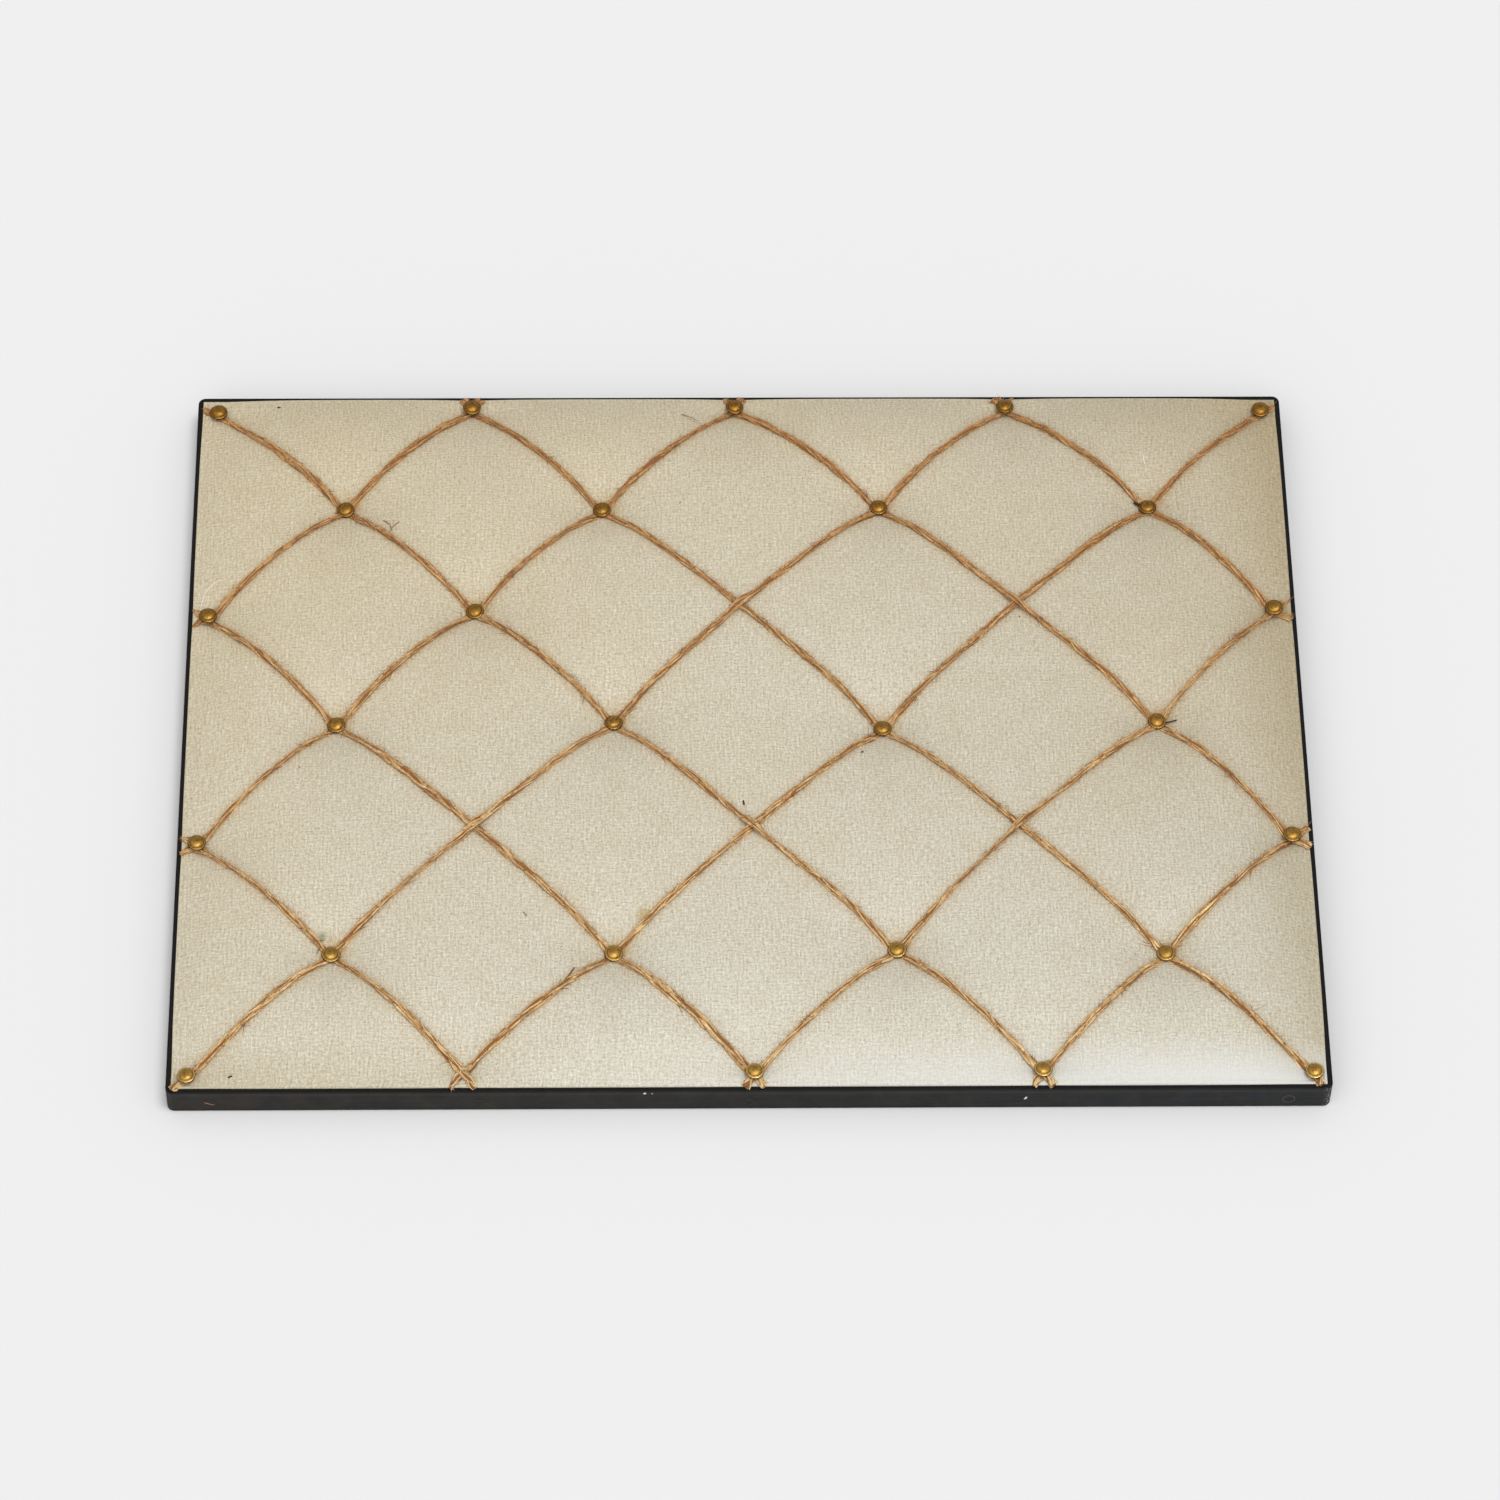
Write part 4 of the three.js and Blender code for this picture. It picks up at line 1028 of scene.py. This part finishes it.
def make_pin_heads(paint, filler, wood, pale):
    """Filled heads of the pins that fix the strips to the panel, a trace proud of the paint."""
    shape = Shape()
    up = np.array([0, 0, 1])
    for middle, along, out, half in strip_sides():
        along, out = np.array([*along, 0]), np.array([*out, 0])
        count = int((half - PIN_END) / PIN_SPACING)
        for number in range(-count, count + 1):
            place = np.array([*middle, PIN_HEIGHT]) + along * number * PIN_SPACING
            rings = []
            for radius, proud in PIN_RINGS:
                rings.append([place + along * radius * x + out * proud + up * radius * y
                              for x, y in circle(PIN_SIDES)])
            plain = out[1] >= 0 or number < count
            shape.add_tube(np.array(rings[:3]), [0.0] * 3, slot=0 if plain else 1, capped=False)
            shape.add_tube(np.array(rings[2:]), [0.0] * 3, capped=False)
    front = strip_sides()[0][0][1]
    # A chip of bare wood, and painted glints on a pin head and near the top of the front strip
    for patch, slot in CHIPS_AND_GLINTS:
        outline = [[(x, front + out, z) for x, z in patch] for out in CHIP_AND_GLINT_FACES]
        shape.add_tube(np.array(outline), [0.0] * 2, slot=slot)
    fit(shape.build("pin_fillings", paint, filler, wood, pale), [])


def make_hem_staples(material):
    """Wire staples that hold the hem to the back of the panel."""
    dice = random.Random(11)
    shape = Shape()
    low = LINEN_BACK - STAPLE_WIRE * STAPLE_SINK
    for half, other, swap in ((HALF_X, HALF_Y, False), (HALF_Y, HALF_X, True)):
        count = int((half - STAPLE_END) / STAPLE_SPACING)
        for side in (-1, 1):
            for number in range(-count, count + 1):
                along, over, slant = (dice.uniform(-most, most) for most in STAPLE_STRAY)
                along += number * STAPLE_SPACING
                over = side * (other - STAPLE_INSET + over)
                slant = radians(slant)
                route = []
                for reach, height in STAPLE_ROUTE:
                    far = reach * STAPLE_CROWN
                    spot = (along + far * cos(slant), over + far * sin(slant))
                    route.append((*(spot[::-1] if swap else spot), low + height))
                wire(shape, route, STAPLE_WIRE / 2, 6)
    fit(shape.build("hem_staples", material), [])


def make_corner_folds(material):
    """The flaps of cloth that are folded over at the corners of the hem."""
    shape = Shape()
    for side in ((-1, -1), (-1, 1), (1, -1), (1, 1)):
        outer, inner = (np.array(side) * (HALF - inset) for inset in (FOLD_INSET, HEM_INSET))
        flap = [outer, np.array([inner[0], outer[1]]), inner]
        middle = sum(flap) / 3
        rings = []
        for share, height in FOLD_RINGS:
            rings.append([(*(middle + (corner - middle) * share), LINEN_BACK + height)
                          for corner in rounded(flap)])
        shape.add_tube(np.array(rings), [0.0] * len(rings))
    fit(shape.build("hem_folds", material), [])


def rounded(corners, share=0.06):
    """A polygon with each corner cut a little, so that it shades softly."""
    cut = []
    for i, corner in enumerate(corners):
        before, after = corners[i - 1], corners[(i + 1) % len(corners)]
        cut.extend([corner + (before - corner) * share, corner + (after - corner) * share])
    return cut


# Stray bits on the cloth

def make_strays(fibre, dark, pale):
    """Loose bits that lie on the cloth: a tuft, hooked fibres, dark specks and a pale thread."""
    shape = Shape()

    def lay(places, width, slot):
        route = np.array(places)
        route[:, 2] += linen_height(route[:, 0], route[:, 1])
        wire(shape, route, width / 2, 5, slot)

    lay([(-193.5, 123.5, 2.5), (-194.5, 128.5, 1.4), (-197.0, 132.0, 0.6), (-198.5, 133.2, 0.3)], 0.45, 0)
    lay([(-193.8, 125.5, 2.2), (-191.5, 129.0, 1.2), (-189.6, 131.2, 0.5)], 0.4, 0)
    lay([(-99.0, -173.0, 2.6), (-94.5, -165.5, 2.0), (-91.8, -160.0, 0.8)], 0.9, 0)
    lay([(-33.0, 211.0, 0.3), (-28.6, 208.4, 1.2), (-24.2, 204.0, 2.4)], 0.4, 0)
    lay([(228.5, -1.0, 2.4), (231.5, -0.4, 1.4), (234.5, 0.6, 0.5)], 0.8, 1)
    lay([(221.8, 147.5, 1.6), (220.0, 147.2, 1.6), (218.6, 148.2, 1.4)], 1.6, 1)
    for x, y, length, slant, slot in ((-271.3, -220.2, 2.2, 0.4, 1), (-259.4, 219.1, 1.8, 0.2, 1),
                                      (151.0, 62.7, 1.1, 1.0, 0), (-1.5, -59.5, 2.6, 1.7, 1),
                                      (-34.3, 142.5, 1.0, 0.7, 0), (-118.0, -129.0, 3.0, 2.2, 0),
                                      (63.0, -23.0, 1.2, 0.6, 1), (-240.0, -33.0, 1.3, 2.0, 0)):
        over, up = length / 2 * cos(slant), length / 2 * sin(slant)
        lay([(x - over, y - up, 0.2), (x, y, 0.25), (x + over, y + up, 0.2)], 0.95 if slot else 0.5, slot)
    arc = []
    for step in range(9):
        angle = radians(185 - 13 * step)
        arc.append((-287.5 + 10.5 * cos(angle), 80.0 + 17.0 * sin(angle), 0.3))
    lay(arc, 0.6, 2)
    lay([(224.4, 179.7, 0.2), (224.8, 176.1, 0.25), (225.5, 171.9, 0.2)], 0.8, 2)
    fit(shape.build("stray_bits", fibre, dark, pale), [])


# Stage, light and camera

def make_floor():
    """A pale floor under the board, in metres."""
    size, level = 12.0, -0.0003
    mesh = bpy.data.meshes.new("floor")
    corners = [(-size, -size, level), (size, -size, level), (size, size, level), (-size, size, level)]
    mesh.from_pydata(corners, [], [(0, 1, 2, 3)])
    mesh.materials.append(Look("pale_floor", (236, 236, 236)).done(0.9, Specular_IOR_Level=0.0))
    put_in_scene("floor", mesh)


def make_light():
    """A studio that is brighter towards the near side, with a broad light from the front and one above."""
    world = bpy.data.worlds.new("studio")
    world.use_nodes = True
    sky = Net(world.node_tree)
    facing = sky.node("ShaderNodeVectorMath", {0: sky.place("Generated"), 1: (0.0, -0.6, 0.8)},
                      operation="DOT_PRODUCT")["Value"]
    sky.connect(sky.tree.nodes["Background"], {
        "Strength": sky.span(facing, -0.7, 1.0, 0.28, 0.65), "Color": (1.0, 1.0, 1.0, 1.0)})
    scene.world = world
    make_sun("key", 0.62, 70, (-0.3, -0.75, 0.75))
    make_sun("overhead", 1.15, 24, (0.2, -0.1, 0.95))


def make_sun(name, energy, spread, place):
    """A far light that shines from the given way, as broad as the spread in degrees."""
    lamp = bpy.data.lights.new(name, "SUN")
    lamp.energy = energy
    lamp.angle = radians(spread)
    put_in_scene(name, lamp).rotation_euler = Vector(place).to_track_quat("Z", "Y").to_euler()


def make_camera():
    pitch, yaw, roll = (radians(turn) for turn in CAMERA_TURNS)
    forward = Vector((cos(pitch) * sin(yaw), cos(pitch) * cos(yaw), -sin(pitch)))
    level = Vector((cos(yaw), -sin(yaw), 0.0))
    upright = level.cross(forward)
    right = level * cos(roll) + upright * sin(roll)
    up = right.cross(forward)
    data = bpy.data.cameras.new("camera")
    data.lens = CAMERA_LENS
    data.sensor_width = CAMERA_SENSOR
    data.clip_end = 100.0
    camera = put_in_scene("camera", data)
    turn = Matrix((right, up, -forward)).transposed().to_4x4()
    camera.matrix_world = Matrix.Translation((Vector(CAMERA_AIM) - forward * CAMERA_DISTANCE) * MM) @ turn
    scene.camera = camera


def dress(material, start):
    """Gives the CAD nodes whose names start so a material."""
    for name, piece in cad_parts.items():
        if name.startswith(start):
            piece.material_slots[0].material = material


make_camera()
make_light()
make_floor()
swell = swollen_cover()
linen, fibre, paint, zinc = linen_material(), fibre_material(), paint_material(), zinc_material()
make_linen(linen)
make_wadding(wadding_material())
# The twine's core is coloured dark as painted shade in the gaps between its strands
make_twines(twine_material(), fibre, Look("jute_core_painted_shade", (142, 96, 53)).done(0.9))
make_nails(brass_material())
make_strays(Look("loose_fibre", (142, 98, 54)).done(0.8),
            Look("dark_speck", (46, 36, 28)).done(0.8),
            Look("pale_thread", (238, 233, 220)).done(0.8))
make_pin_heads(paint, Look("old_filler", (66, 66, 66)).done(0.6),
               Look("bare_wood", (172, 116, 70)).done(0.7),
               # Pale filler as painted glints
               Look("painted_glint", (226, 224, 216)).done(0.7))
make_hem_staples(zinc)
make_corner_folds(linen)
dress(paint, "frame_strip")
dress(plywood_material(), "backing_panel")
dress(zinc, "hanger")
dress(Look("bright_wire", (252, 244, 222)).done(0.3, Metallic=1.0), "edge_staple")

scene.view_settings.view_transform = "Standard"
